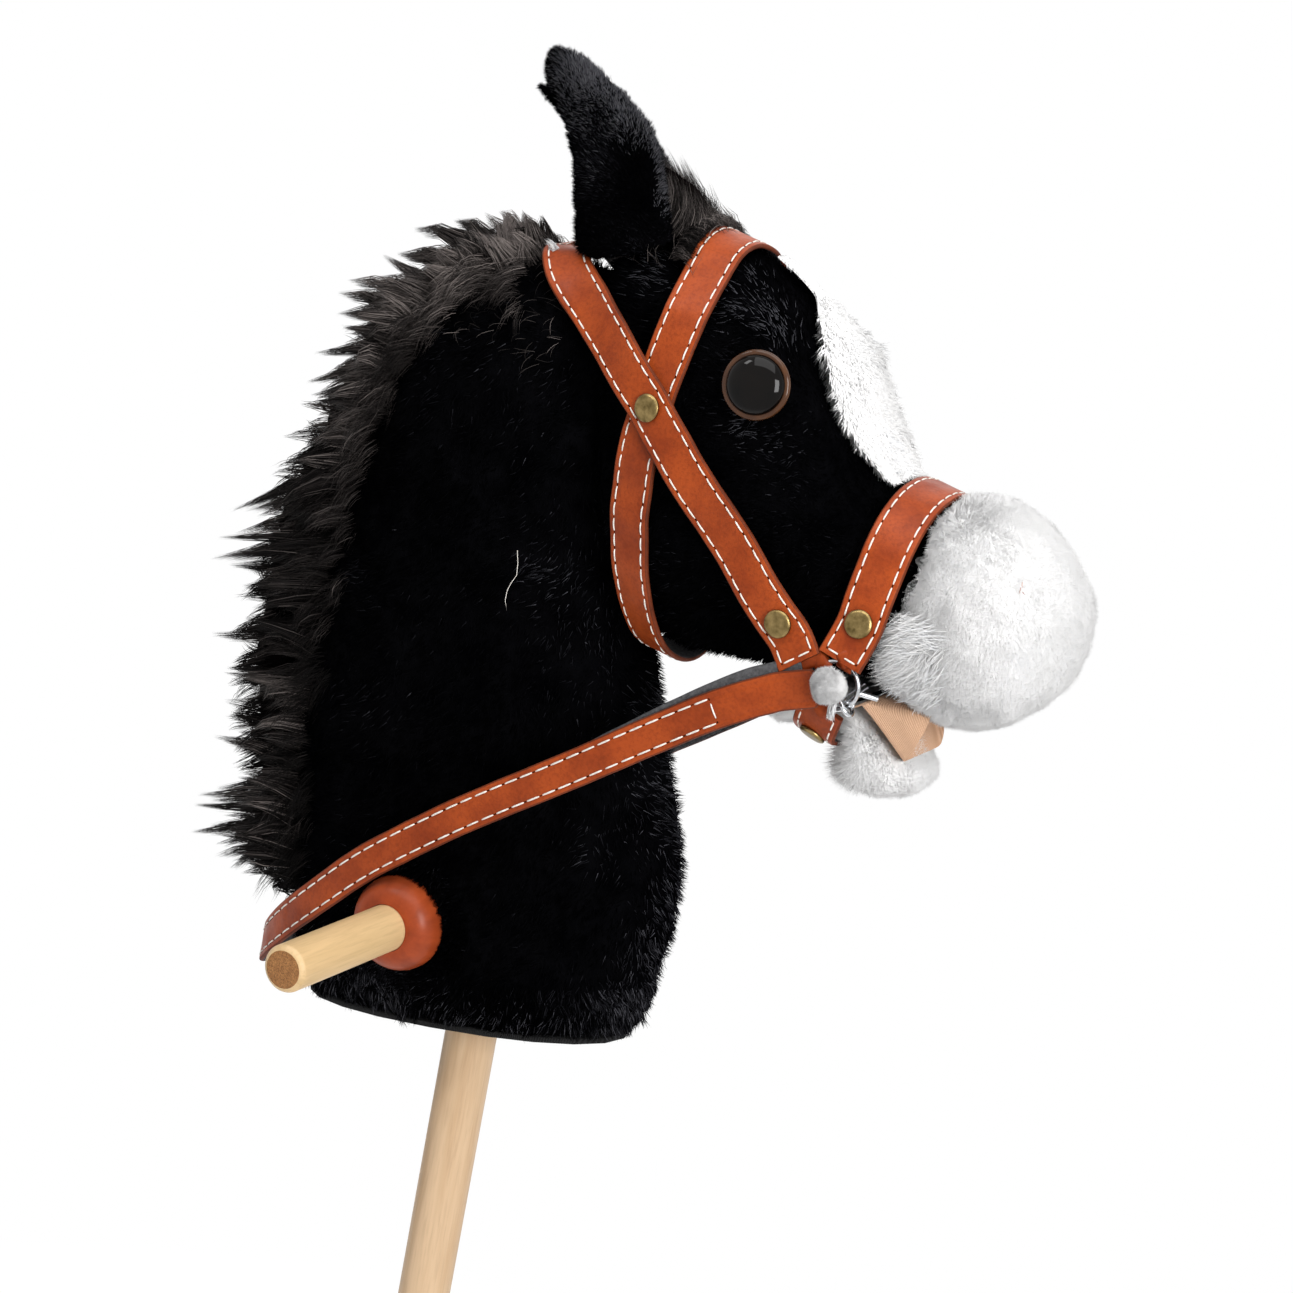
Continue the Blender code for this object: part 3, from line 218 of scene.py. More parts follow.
def lacquer(name, dark, light, roughness=0.42, coat=0.12):
    """Thick brown lacquer over turned wood, with faint turning lines."""
    made, tree = tree_of(name, roughness, light, Specular_IOR_Level=0.12, Coat_Weight=coat,
                         Coat_Roughness=roughness * 0.6)
    dye = ramp(tree, noise(tree, coordinates(tree, (1, 0.1, 1)), 130, 5), (0.3, dark), (0.7, light))
    lines = noise(tree, coordinates(tree, (0.15, 1, 0.15)), 1200, 2)
    return linked(made, Base_Color=dye, Normal=bump(tree, lines, 0.06, 0.0003))


def ribbed_cloth(name, dark, light, direction, pitch):
    """Fine ribbed lining cloth."""
    made, tree = tree_of(name, 0.9, light, Specular_IOR_Level=0.2)
    place = coordinates(tree, Rotation=direction)
    ribs = node(tree, "ShaderNodeTexWave", {"bands_direction": "X"}, Vector=place,
                Scale=math.pi / 10 / pitch, Distortion=0.6, Detail=1.0, Detail_Scale=6.0).outputs["Fac"]
    speckle = noise(tree, place, 900, 4)
    colour = specked(tree, ramp(tree, ribs, (0.1, dark), (0.75, light)), speckle, 0.35, 0.6, 0.35, dark)
    return linked(made, Base_Color=colour,
                  Normal=bump(tree, speckle, 0.3, 0.0003, Normal=bump(tree, ribs, 0.7, 0.0004)))


BLACK_BACK = plush_backing("black_backing", (0.0006, 0.0006, 0.0008), (0.0022, 0.0022, 0.0027))
WHITE_BACK = plush_backing("white_backing", (0.90, 0.895, 0.89), (0.95, 0.945, 0.94))
HAIR_BACK = plush_backing("hair_backing", (0.0015, 0.0012, 0.0012), (0.005, 0.004, 0.0038))
# The sheen and glint tones are lighter strands: mixed in at random, and given to the strands of painted sheen
# where the nap catches the light.
BLACK_PILE = [fibre("black_pile_deep", (0.0010, 0.0010, 0.0012), 0.8),
              fibre("black_pile", (0.0026, 0.0026, 0.0032), 0.8),
              fibre("black_pile_sheen", (0.010, 0.010, 0.0125), 0.75, 0.05),
              fibre("black_pile_glint", (0.050, 0.050, 0.058), 0.7, 0.1)]
# The ears' pale tone serves their painted sheen.
EAR_PILE = BLACK_PILE + [fibre("ear_pile_painted_sheen", (0.095, 0.094, 0.102), 0.7, 0.1)]
WHITE_PILE = [fibre("white_pile", (0.955, 0.95, 0.945)), fibre("white_pile_warm", (0.945, 0.935, 0.925)),
              fibre("white_pile_cool", (0.915, 0.92, 0.93))]
YARN = [fibre("yarn", (0.74, 0.735, 0.73)), fibre("yarn_pale", (0.84, 0.835, 0.83)),
        fibre("yarn_shade", (0.64, 0.64, 0.65))]
RUST = fibre("rust_fibre", (0.56, 0.33, 0.28))
# The glint and pale tones are lighter strands: mixed in at random, and given to more strands towards the top of
# the mane as painted highlight.
HAIR = [fibre("hair_dark", (0.0040, 0.0034, 0.0033), 0.6, 0.05),
        fibre("hair_brown", (0.013, 0.0105, 0.0098), 0.55, 0.1),
        fibre("hair_glint", (0.050, 0.042, 0.039), 0.5, 0.15),
        fibre("hair_pale", (0.17, 0.145, 0.135), 0.5, 0.15)]
LEATHER = leather("saddle_leather", (0.195, 0.027, 0.0050), (0.345, 0.058, 0.0100))
LEATHER_EDGE = leather("leather_edge", (0.075, 0.015, 0.005), (0.16, 0.032, 0.010), 0.6, 0.0)
SUEDE = suede("leather_back", (0.040, 0.040, 0.042), (0.115, 0.115, 0.12))
THREAD = suede("stitch_thread", (0.62, 0.57, 0.50), (0.90, 0.87, 0.82))
# Dark discs at the needle holes: painted shade in the holes.
HOLE_SHADE = fibre("needle_hole_shade", (0.030, 0.008, 0.004))
BRASS = metal("antique_brass", (0.10, 0.070, 0.024), (0.30, 0.215, 0.090), 0.30)
CHROME = metal("chromed_wire_look", (0.42, 0.43, 0.45), (0.68, 0.69, 0.71), 0.10, 500, 0.08)
TIE_WIRE = metal("tie_wire_look", (0.09, 0.09, 0.10), (0.34, 0.35, 0.37), 0.25, 900)
STEEL = metal("zinc_steel", (0.42, 0.43, 0.45), (0.60, 0.61, 0.63), 0.34)
STICK_WOOD = wood("stick_wood_look", 2, (0.49, 0.32, 0.180), (0.575, 0.40, 0.245), 0.50, 0.05)
HANDLE_WOOD = wood("handle_wood_look", 1, (0.54, 0.365, 0.175), (0.61, 0.42, 0.215), 0.46, 0.08)
HANDLE_END = end_grain("handle_end_grain", (HANDLE_X - 0.004, 0, 0.003), 1, (0.25, 0.105, 0.032),
                       (0.40, 0.185, 0.062))
STICK_END = end_grain("stick_end_grain", (0.005, 0.003, 0), 2, (0.30, 0.17, 0.08), (0.55, 0.36, 0.20))
COLLAR = lacquer("brown_lacquer", (0.20, 0.031, 0.008), (0.33, 0.056, 0.014))
LINING = ribbed_cloth("peach_lining", (0.58, 0.345, 0.215), (0.70, 0.445, 0.295), (0, math.radians(40), 0),
                      0.0008)
BASE_CLOTH = ribbed_cloth("black_cloth", (0.006, 0.006, 0.006), (0.016, 0.016, 0.017), (0, 0, 0.6), 0.0007)
NYLON = suede("lock_nylon", (0.62, 0.62, 0.60), (0.82, 0.82, 0.80))


# Mesh helpers

def made_object(name, mesh, materials):
    for material in materials:
        mesh.materials.append(material)
    made = bpy.data.objects.new(name, mesh)
    bpy.context.scene.collection.objects.link(made)
    return made


def from_arrays(name, points, faces, materials, slots=None):
    """A smooth mesh object from arrays: points, faces of equal corner count, and a slot for each face."""
    mesh = bpy.data.meshes.new(name)
    points, faces = np.asarray(points, np.float32), np.asarray(faces, np.int32)
    mesh.vertices.add(len(points))
    mesh.vertices.foreach_set("co", points.ravel())
    mesh.loops.add(faces.size)
    mesh.loops.foreach_set("vertex_index", faces.ravel())
    mesh.polygons.add(len(faces))
    mesh.polygons.foreach_set("loop_start", np.arange(len(faces), dtype=np.int32) * faces.shape[1])
    if slots is not None:
        mesh.polygons.foreach_set("material_index", np.asarray(slots, np.int32))
    mesh.update(calc_edges=True)
    mesh.shade_smooth()
    return made_object(name, mesh, materials)


def quads(rings, sides, closed=False):
    """The faces between rings of points that follow each other."""
    pairs = [(a * sides, (a + 1) % rings * sides) for a in range(rings if closed else rings - 1)]
    return [(a + j, a + (j + 1) % sides, b + (j + 1) % sides, b + j) for a, b in pairs for j in range(sides)]


def finished(mesh, angle=None, fill=False):
    """Fills any holes, turns the faces outward, and keeps the edges that are sharper than an angle."""
    shape = bmesh.new()
    shape.from_mesh(mesh)
    if fill:
        bmesh.ops.holes_fill(shape, edges=[edge for edge in shape.edges if edge.is_boundary], sides=0)
    bmesh.ops.recalc_face_normals(shape, faces=shape.faces)
    shape.to_mesh(mesh)
    shape.free()
    if angle is not None:
        mesh.shade_smooth()
        mesh.set_sharp_from_angle(angle=math.radians(angle))


def placed(piece, slot, *nodes, body="root", fill=None):
    """Puts a piece on its body and hides the CAD nodes that it stands for. The slot of its finish is not used.
    """
    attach(piece, body)
    if nodes:
        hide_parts(*nodes)
    return piece


def welded(*names):
    """The CAD nodes' own faces in one bmesh, joined corner to corner."""
    shape = bmesh.new()
    for name in names:
        shape.from_mesh(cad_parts[name].data)
    bmesh.ops.remove_doubles(shape, verts=shape.verts, dist=1e-6)
    return shape


def corners_of(cad):
    shape = welded(cad)
    points = np.array([corner.co for corner in shape.verts], float)
    shape.free()
    return points


def tree_of_nodes(*names):
    shape = welded(*names)
    made = BVHTree.FromBMesh(shape)
    shape.free()
    return made


def cad_copy(name, cad, material):
    """A piece with the shape of a CAD node."""
    mesh = bpy.data.meshes.new(name)
    shape = welded(cad)
    shape.to_mesh(mesh)
    shape.free()
    return made_object(name, mesh, [material])


def baked(piece):
    """Applies a piece's modifiers."""
    view = bpy.context.evaluated_depsgraph_get()
    mesh = bpy.data.meshes.new_from_object(piece.evaluated_get(view))
    piece.modifiers.clear()
    old, piece.data = piece.data, mesh
    bpy.data.meshes.remove(old)


def modified(piece, **kinds):
    """Applies modifiers, each given by its kind and settings."""
    for kind, settings in kinds.items():
        modifier = piece.modifiers.new(kind.lower(), kind)
        for key, value in settings.items():
            setattr(modifier, key, value)
    baked(piece)


def values_of(items, key):
    found = np.empty(len(items) * 3, np.float32)
    items.foreach_get(key, found)
    return found.reshape(-1, 3).astype(float)


def coordinates_of(piece):
    return values_of(piece.data.vertices, "co")


def normals_of(piece):
    return values_of(piece.data.vertex_normals, "vector")


def unit(vectors):
    return vectors / np.maximum(np.linalg.norm(vectors, axis=-1, keepdims=True), 1e-9)


LATTICE = 24


def field(points, scale, seed):
    """Smooth random vectors, each part between -1 and 1, that change over the given length."""
    grid = np.random.default_rng(seed).uniform(-1, 1, (LATTICE, LATTICE, LATTICE, 3))
    at = np.asarray(points) / scale
    low = np.floor(at).astype(int)
    share = at - low
    share = share * share * (3 - 2 * share)
    total = np.zeros_like(at)
    for corner in itertools.product((0, 1), repeat=3):
        weight = np.prod(np.where(corner, share, 1 - share), axis=1)
        cell = (low + corner) % LATTICE
        total += weight[:, None] * grid[cell[:, 0], cell[:, 1], cell[:, 2]]
    return total


# Stuffed forms

def moved(piece, points):
    piece.data.vertices.foreach_set("co", points.astype(np.float32).ravel())
    piece.data.update()


def blown_up(piece, cap, pressure=4.0, frames=20):
    """Fills a cover as cloth under pressure, and caps how far any point of it moves."""
    before = coordinates_of(piece)
    cloth = piece.modifiers.new("filling", "CLOTH")
    cloth.settings.use_pressure = True
    cloth.settings.uniform_pressure_force = pressure
    cloth.settings.effector_weights.gravity = 0
    cloth.point_cache.frame_start, cloth.point_cache.frame_end = 1, frames
    for frame_number in range(1, frames + 1):
        bpy.context.scene.frame_set(frame_number)
    baked(piece)
    bpy.context.scene.frame_set(1)
    move = coordinates_of(piece) - before
    far = np.linalg.norm(move, axis=1, keepdims=True)
    moved(piece, before + move * np.minimum(1, cap / np.maximum(far, 1e-9)))


def stuffed(name, cad, material, voxel=0.0045, inset=0.0028, lumps=0.0009, lump_size=0.03, seed=1, soft=4,
            cap=0.0016):
    """The cover of a stuffed form: the CAD solid's shape with soft edges, filled as cloth, a little
    lumpy, and set in by the depth of its pile."""
    piece = cad_copy(name, cad, material)
    modified(piece, REMESH={"mode": "VOXEL", "voxel_size": voxel}, SMOOTH={"factor": 0.5, "iterations": soft})
    if cap:
        moved(piece, coordinates_of(piece) - normals_of(piece) * (inset + cap * 0.7))
        blown_up(piece, cap)
        inset = 0.0
    modified(piece, SUBSURF={"levels": 1, "render_levels": 1})
    points = coordinates_of(piece)
    swell = field(points, lump_size, seed)[:, :1] * lumps
    swell += field(points, lump_size / 3, seed + 1)[:, :1] * lumps / 2
    moved(piece, points + normals_of(piece) * (swell - inset))
    piece.data.shade_smooth()
    return piece


def sampled(piece, count, rng, keep=None):
    """Random places on a mesh, with their smooth normals, spread evenly over its area."""
    mesh = piece.data
    mesh.calc_loop_triangles()
    corners = np.empty(len(mesh.loop_triangles) * 3, np.int32)
    mesh.loop_triangles.foreach_get("vertices", corners)
    corners = corners.reshape(-1, 3)
    points, normals = coordinates_of(piece), normals_of(piece)
    if keep is not None:
        corners = corners[keep(points[corners].mean(1))]
    a, b, c = (points[corners[:, k]] for k in range(3))
    area = np.linalg.norm(np.cross(b - a, c - a), axis=1)
    picked = rng.choice(len(corners), count, p=area / area.sum())
    u, v = rng.random(count), rng.random(count)
    flip = u + v > 1
    u[flip], v[flip] = 1 - u[flip], 1 - v[flip]
    weights = np.stack([1 - u - v, u, v], 1)[:, :, None]
    chosen = corners[picked]
    return (points[chosen] * weights).sum(1), unit((normals[chosen] * weights).sum(1))


def tapered(name, lines, radii, materials, slots, sides=3, facing=None):
    """Closed tapered strands: lines is (strands, points, 3) and radii is (strands, points - 1).
    Facing gives each strand the shading normal of its ground, as a dense soft pile has."""
    count, steps, _ = lines.shape
    along = unit(lines[:, -1] - lines[:, 0])
    helper = np.where(np.abs(along[:, 2:]) < 0.9, [[0.0, 0.0, 1.0]], [[1.0, 0.0, 0.0]])
    first = unit(np.cross(along, helper))
    second = np.cross(along, first)
    turns = np.arange(sides) * math.tau / sides
    spokes = first[:, None] * np.cos(turns)[None, :, None] + second[:, None] * np.sin(turns)[None, :, None]
    rings = lines[:, :-1, None] + spokes[:, None] * radii[:, :, None, None]
    body = rings.reshape(count, -1, 3)
    points = np.concatenate([body, lines[:, -1:]], 1)
    size = points.shape[1]
    faces = []
    for step in range(steps - 2):
        for j in range(sides):
            k = (j + 1) % sides
            a, b = step * sides, (step + 1) * sides
            faces += [(a + j, a + k, b + k), (a + j, b + k, b + j)]
    a = (steps - 2) * sides
    faces += [(a + j, a + (j + 1) % sides, size - 1) for j in range(sides)]
    faces = np.array(faces, np.int32)
    every = (faces[None] + (np.arange(count, dtype=np.int32) * size)[:, None, None]).reshape(-1, 3)
    made = from_arrays(name, points.reshape(-1, 3), every, materials, np.repeat(slots, len(faces)))
    if facing is not None:
        made.data.normals_split_custom_set_from_vertices(np.repeat(facing, size, 0).tolist())
    return made


def clear_of(tree, roots, tips):
    """Which strands reach from root to tip without meeting what lies over them."""
    free = np.ones(len(roots), bool)
    for i, (root, tip) in enumerate(zip(roots, tips)):
        start, way = Vector(root), Vector(tip - root)
        if tree.ray_cast(start, way.normalized(), way.length)[0] is not None:
            free[i] = False
    return free


def gathered(roots, tips, every, pull, rng):
    """Draws the strands' tips together into tufts."""
    centres = rng.choice(len(roots), max(2, int(len(roots) / every)), replace=False)
    finder = KDTree(len(centres))
    for i, centre in enumerate(centres):
        finder.insert(Vector(roots[centre]), i)
    finder.balance()
    nearest = np.array([centres[finder.find(Vector(root))[1]] for root in roots])
    return tips + (tips[nearest] - tips) * pull


def tones(points, rng, scale, seed, shares, bias=0.0):
    """A tone for each strand, in drifts, so that each tone's share is about as given."""
    value = field(points, scale, seed)[:, 0] + rng.normal(0, 0.45, len(points)) + bias
    order = np.argsort(np.argsort(value)) / len(points)
    return np.searchsorted(np.cumsum(shares)[:-1], order)


def pile(name, cover, count, length, width, materials, shares, flow, seed, over=None, rise=0.55, tuft=14,
         pull=0.35, wander=0.35, keep=None, bare=None, painted_sheen=None, sheen_tones=(2, 3), smooth=0.0, longer=None,
         sideways=0.0, swirl=0.7):
    """A plush pile grown on a cover, leaning with the nap and clear of what lies over it. Bare says
    which places have none, and longer how many times its length it has there. The sheen mask gives
    the share of strands that get the lighter tones listed with it: painted sheen where the nap catches the
    light."""
    rng = np.random.default_rng(seed)
    roots, normals = sampled(cover, count, rng, keep)
    if bare is not None:
        kept = ~bare(roots)
        roots, normals = roots[kept], normals[kept]
    lean = np.asarray(flow, float)[None] + field(roots, 0.035, seed + 1) * swirl
    lean[:, 1] += np.sign(roots[:, 1]) * sideways
    lean = lean - normals * (lean * normals).sum(1, keepdims=True)
    ways = unit(normals * rise + unit(lean) * (1 - rise) + rng.normal(0, wander * 0.5, roots.shape)
                + field(roots, 0.009, seed + 2) * wander)
    lengths = length * rng.uniform(0.7, 1.15, (len(roots), 1)) * (1 + 0.2 * field(roots, 0.02, seed + 3)[:, :1])
    if longer is not None:
        lengths = lengths * longer(roots)[:, None]
    roots = roots - normals * 0.0006
    tips = gathered(roots, roots + ways * lengths, tuft, pull, rng)
    middles = roots + (tips - roots) * 0.5 + normals * lengths * 0.10
    free = clear_of(over or OVER, roots, tips)
    roots, middles, tips, normals = roots[free], middles[free], tips[free], normals[free]
    lines = np.stack([roots, tips] if len(roots) > STRAIGHT_FROM else [roots, middles, tips], 1)
    radii = np.repeat(rng.uniform(0.75, 1.2, (len(roots), 1)) * width / 2, lines.shape[1] - 1, 1)
    radii[:, 1:] *= 0.8
    slots = tones(roots, rng, 0.03, seed + 4, shares)
    # Painted sheen: where the mask is high, strands get the lighter tones, as if the nap caught the light
    # there.
    if painted_sheen is not None:
        drifts = 1 + 0.8 * field(roots, 0.012, seed + 5)[:, 0]
        sheened = rng.random(len(roots)) < painted_sheen(roots, normals) * drifts
        slots[sheened] = np.array(sheen_tones)[rng.integers(0, len(sheen_tones), sheened.sum())]
    facing = unit(normals + unit(lines[:, -1] - lines[:, 0]) * (1 - smooth)) if smooth else None
    return placed(tapered(name, lines, radii, materials, slots, facing=facing),
                  "white_plush" if materials in (WHITE_PILE, YARN) else "black_plush")




def close_to(points, spots):
    """How close points are to round spots (x, half width, z, radius), from 0 to 1, on both sides."""
    folded, share = points.copy(), np.zeros(len(points))
    folded[:, 1] = np.abs(folded[:, 1])
    for *middle, radius in spots:
        share = np.maximum(share, np.exp(-((folded - middle) ** 2).sum(1) / radius ** 2))
    return share


def off_line(points, line, half):
    """Which points lie within a half width of a line of (x, z) places."""
    flat, near = points[:, (0, 2)], np.full(len(points), 1e9)
    for a, b in zip(line, line[1:]):
        a, b = np.array(a), np.array(b)
        t = np.clip(((flat - a) @ (b - a)) / ((b - a) @ (b - a)), 0, 1)
        near = np.minimum(near, np.linalg.norm(flat - a - t[:, None] * (b - a), axis=1))
    return near < half


OVER = tree_of_nodes(*[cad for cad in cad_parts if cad.startswith(("rivet", "bit_", "handle_collar"))
                       or cad.endswith("strap")
                       or cad in ("noseband", "rein", "eye_right", "eye_left", "handle_bar", "stick")])
NAP = (-0.45, 0.0, -0.85)
STRAIGHT_FROM = 21000  # a pile of more strands than this has straight ones

CHEST_SEAM = [(0.0820, 0.118), (0.0833, 0.107), (0.0898, 0.089), (0.0964, 0.057), (0.1013, 0.027),
              (0.1014, -0.012)]
# Round spots (x, half width, z, radius) on the neck and head where more of the pile gets lighter tones: painted
# sheen where the nap catches the light.
NECK_PAINTED_SHEEN = [(0.017, 0.046, 0.181, 0.012), (0.034, 0.046, 0.174, 0.013), (0.050, 0.044, 0.166, 0.011),
              (0.067, 0.004, 0.130, 0.010), (0.079, 0.006, 0.095, 0.013), (0.0875, 0.0045, 0.0735, 0.014),
              (0.095, 0.002, 0.041, 0.015), (0.093, 0.010, 0.016, 0.014), (0.088, 0.016, -0.010, 0.014)]
HEAD_PAINTED_SHEEN = [(0.079, 0.0225, 0.3314, 0.008), (0.089, 0.0266, 0.3247, 0.008), (0.0973, 0.0279, 0.3193, 0.008),
              (0.1054, 0.0297, 0.3130, 0.007), (0.080, 0.0334, 0.3208, 0.007), (0.0354, 0.0302, 0.3241, 0.009),
              (0.1028, 0.050, 0.2713, 0.007)]

neck = placed(stuffed("neck_cover", "neck", BLACK_BACK, seed=11), "black_plush", "neck", fill=0.9)
head = placed(stuffed("head_cover", "head", BLACK_BACK, seed=12), "black_plush", "head", fill=0.95)
muzzle = placed(stuffed("muzzle_cover", "muzzle", WHITE_BACK, inset=0.0030, lumps=0.0016, lump_size=0.022,
                        seed=13), "white_plush", "muzzle", fill=0.9)
jaw = placed(stuffed("jaw_cover", "lower_jaw", WHITE_BACK, voxel=0.0035, inset=0.0022, seed=14),
             "white_plush", "lower_jaw", fill=0.8)
# The neck's pile also gets lighter tones in its spots and below z = -0.02: painted sheen.
pile("neck_pile", neck, 64000, 0.0056, 0.00062, BLACK_PILE, (0.54, 0.43, 0.028, 0.002), NAP, 21,
     sheen_tones=(2, 2, 2, 3), bare=lambda p: off_line(p, CHEST_SEAM, 0.0009),
     painted_sheen=lambda p, n: close_to(p, NECK_PAINTED_SHEEN) * 1.1 + 0.10 * (p[:, 2] < -0.02))
pile("head_pile", head, 56000, 0.0052, 0.00058, BLACK_PILE, (0.54, 0.43, 0.028, 0.002), (-0.7, 0, -0.5), 22,
     sheen_tones=(2, 3, 3), painted_sheen=lambda p, n: close_to(p, HEAD_PAINTED_SHEEN))
for part in range(3):
    pile(f"muzzle_pile_{part}", muzzle, 62000, 0.0044, 0.00040, WHITE_PILE, (0.7, 0.2, 0.1), (0.45, 0, -0.45),
         230 + part * 9, rise=0.54, tuft=60, pull=0.22, wander=0.50, smooth=0.95, swirl=0.25)
JAW_CORNER = [(0.168, 0.029, 0.137, 0.013)]
for part in range(2):
    pile(f"jaw_pile_{part}", jaw, 44000, 0.0044, 0.00040, WHITE_PILE, (0.6, 0.25, 0.15), (-0.5, 0, -0.35),
         240 + part * 9, rise=0.56, tuft=50, pull=0.25, wander=0.50, smooth=0.93, swirl=0.3,
         longer=lambda p: 1 + 2.3 * close_to(p, JAW_CORNER))

# Longer tufts at the muzzle's lower rear corner and along the neck's hem
OVER_CORNER = tree_of_nodes("rein", "bit_ring_right", "bit_ring_left", "bit_bar", "rivet_nose_right",
                            "rivet_nose_left")
MUZZLE_CORNER = [(0.183, 0.046, 0.184, 0.013), (0.190, 0.042, 0.176, 0.009)]
pile("muzzle_corner_pile", muzzle, 20500, 0.0042, 0.00044, WHITE_PILE, (0.6, 0.25, 0.15), (-0.85, 0, -0.6), 27,
     OVER_CORNER, rise=0.42, tuft=22, wander=0.38, smooth=0.8, swirl=0.3,
     keep=lambda p: (p[:, 0] < 0.204) & (p[:, 2] < 0.208) & (np.abs(p[:, 1]) > 0.022),
     longer=lambda p: 1 + close_to(p, MUZZLE_CORNER))
HEM = ((-0.095, -0.065, -0.035, 0.025, 0.055, 0.085), (-0.061, -0.055, -0.050, -0.039, -0.0345, -0.029))
HEM_HEIGHT, HEM_EDGE = 0.026, 0.012


def above_hem(points, height):
    """How far points of the neck's cover lie above its slanting lower edge, as shares of a height."""
    return (points[:, 2] - np.interp(points[:, 0], *HEM)) / height


# The hem's pile has more of the lighter tones, and more still towards its lower edge: painted sheen.
pile("hem_pile", neck, 20500, 0.0062, 0.00056, BLACK_PILE, (0.34, 0.42, 0.20, 0.04), (0.05, 0, -1.0), 28,
     rise=0.42, tuft=22, pull=0.45, wander=0.45, keep=lambda p: above_hem(p, HEM_HEIGHT) < 1,
     longer=lambda p: 1 + (np.clip(1 - above_hem(p, HEM_EDGE), 0, 1)
                           * (0.75 + 0.45 * field(p, 0.014, 281)[:, 0])),
     painted_sheen=lambda p, n: 0.22 * np.clip(1 - above_hem(p, HEM_HEIGHT), 0, 1), sheen_tones=(3, 2))


def from_bar(points):
    return np.hypot(points[:, 0] - HANDLE_X, points[:, 2])


pile("collar_fringe", neck, 12000, 0.0060, 0.00050, BLACK_PILE, (0.46, 0.42, 0.10, 0.02), (0.0, 0, 0.0), 29,
     rise=0.93, pull=0.4, wander=0.30,
     keep=lambda p: (from_bar(p) > 0.0215) & (from_bar(p) < 0.034) & (np.abs(p[:, 1]) > 0.026),
     longer=lambda p: 1.25 - 0.5 * np.clip((from_bar(p) - 0.024) / 0.010, 0, 1))


def ear_painted_sheen(p, n):
    """Painted sheen: the ears' pile gets lighter tones on their tips and on their front faces, where they catch
    the light.
    """
    return np.clip((p[:, 2] - 0.368) / 0.030, 0, 1) * np.clip((p[:, 0] + 0.030) / 0.02, 0, 1) \
        + 0.7 * np.clip((n[:, 0] - 0.5) * 2, 0, 1) * (p[:, 2] > 0.345)


for side_name, side in SIDES:
    ear = placed(stuffed(f"ear_cover_{side_name}", f"ear_{side_name}", BLACK_BACK, voxel=0.0028, inset=0.0012,
                         lumps=0.0012, lump_size=0.02, seed=15 + side, soft=2, cap=0.0008),
                 "black_plush", f"ear_{side_name}", fill=0.7)
    pile(f"ear_pile_{side_name}", ear, 40000, 0.0038, 0.00042, EAR_PILE, (0.47, 0.46, 0.065, 0.004, 0.001),
         (-0.1, 0, 0.6), 25 + side, wander=0.40, painted_sheen=ear_painted_sheen, sheen_tones=(3, 3, 4))


# Blaze: white pile on the face, and its ground cloth

def blaze_half(points):
    """Half the blaze's width: a slim line down the forehead, then wide below it."""
    return np.interp(points[:, 0], (0.080, 0.104, 0.108, 0.1133, 0.116), (0.0035, 0.0042, 0.009, 0.0185, 0.030))


blaze = cad_copy("blaze_cover", "blaze", WHITE_BACK)
modified(blaze, SUBSURF={"levels": 2, "render_levels": 2})
points = coordinates_of(blaze) - normals_of(blaze) * 0.0004 - (0, 0, 0.0012)
points[:, 1] = np.clip(points[:, 1], -blaze_half(points), blaze_half(points))
moved(blaze, points)
blaze.data.shade_smooth()
placed(blaze, "white_plush", "blaze")
pile("blaze_pile", blaze, 21000, 0.0038, 0.00052, WHITE_PILE, (0.7, 0.2, 0.1), (0.45, 0, -0.4), 31,
     rise=0.50, tuft=30, pull=0.2, wander=0.30, smooth=0.9, swirl=0.3, sideways=0.5,
     bare=lambda p: (np.abs(p[:, 1]) > blaze_half(p) * 0.92) & (p[:, 0] < 0.1155),
     longer=lambda p: 1 - 0.6 * (p[:, 0] < 0.106) + 1.1 * close_to(p, [(0.120, 0.022, 0.307, 0.009)])
     + 0.75 * np.clip((np.abs(p[:, 1]) - 0.013) / 0.010, 0, 1) * np.clip((p[:, 0] - 0.112) / 0.006, 0, 1))

# Mane, forelock and the tufts

MANE_SPINE = np.array([(-0.030, 0.306), (-0.060, 0.298), (-0.084, 0.268), (-0.096, 0.230), (-0.103, 0.182),
                       (-0.106, 0.132), (-0.106, 0.082), (-0.104, 0.038), (-0.100, 0.008), (-0.098, -0.016)])
MANE_TIPS = np.array([(-0.042, 0.329), (-0.055, 0.328), (-0.066, 0.325), (-0.084, 0.317), (-0.098, 0.310),
                      (-0.110, 0.295), (-0.118, 0.293), (-0.131, 0.278), (-0.138, 0.270), (-0.138, 0.260),
                      (-0.143, 0.240), (-0.146, 0.225), (-0.141, 0.220), (-0.138, 0.211), (-0.150, 0.185),
                      (-0.179, 0.152), (-0.173, 0.153), (-0.155, 0.159), (-0.181, 0.139), (-0.182, 0.128),
                      (-0.173, 0.127), (-0.164, 0.118), (-0.160, 0.116), (-0.176, 0.091), (-0.165, 0.077),
                      (-0.164, 0.071), (-0.160, 0.061), (-0.163, 0.053), (-0.163, 0.043), (-0.156, 0.037),
                      (-0.171, 0.009), (-0.173, 0.003), (-0.170, -0.010), (-0.152, -0.005), (-0.145, -0.010),
                      (-0.131, -0.014), (-0.122, -0.022)])
HAIR_SHARES = (0.46, 0.32, 0.17, 0.05)


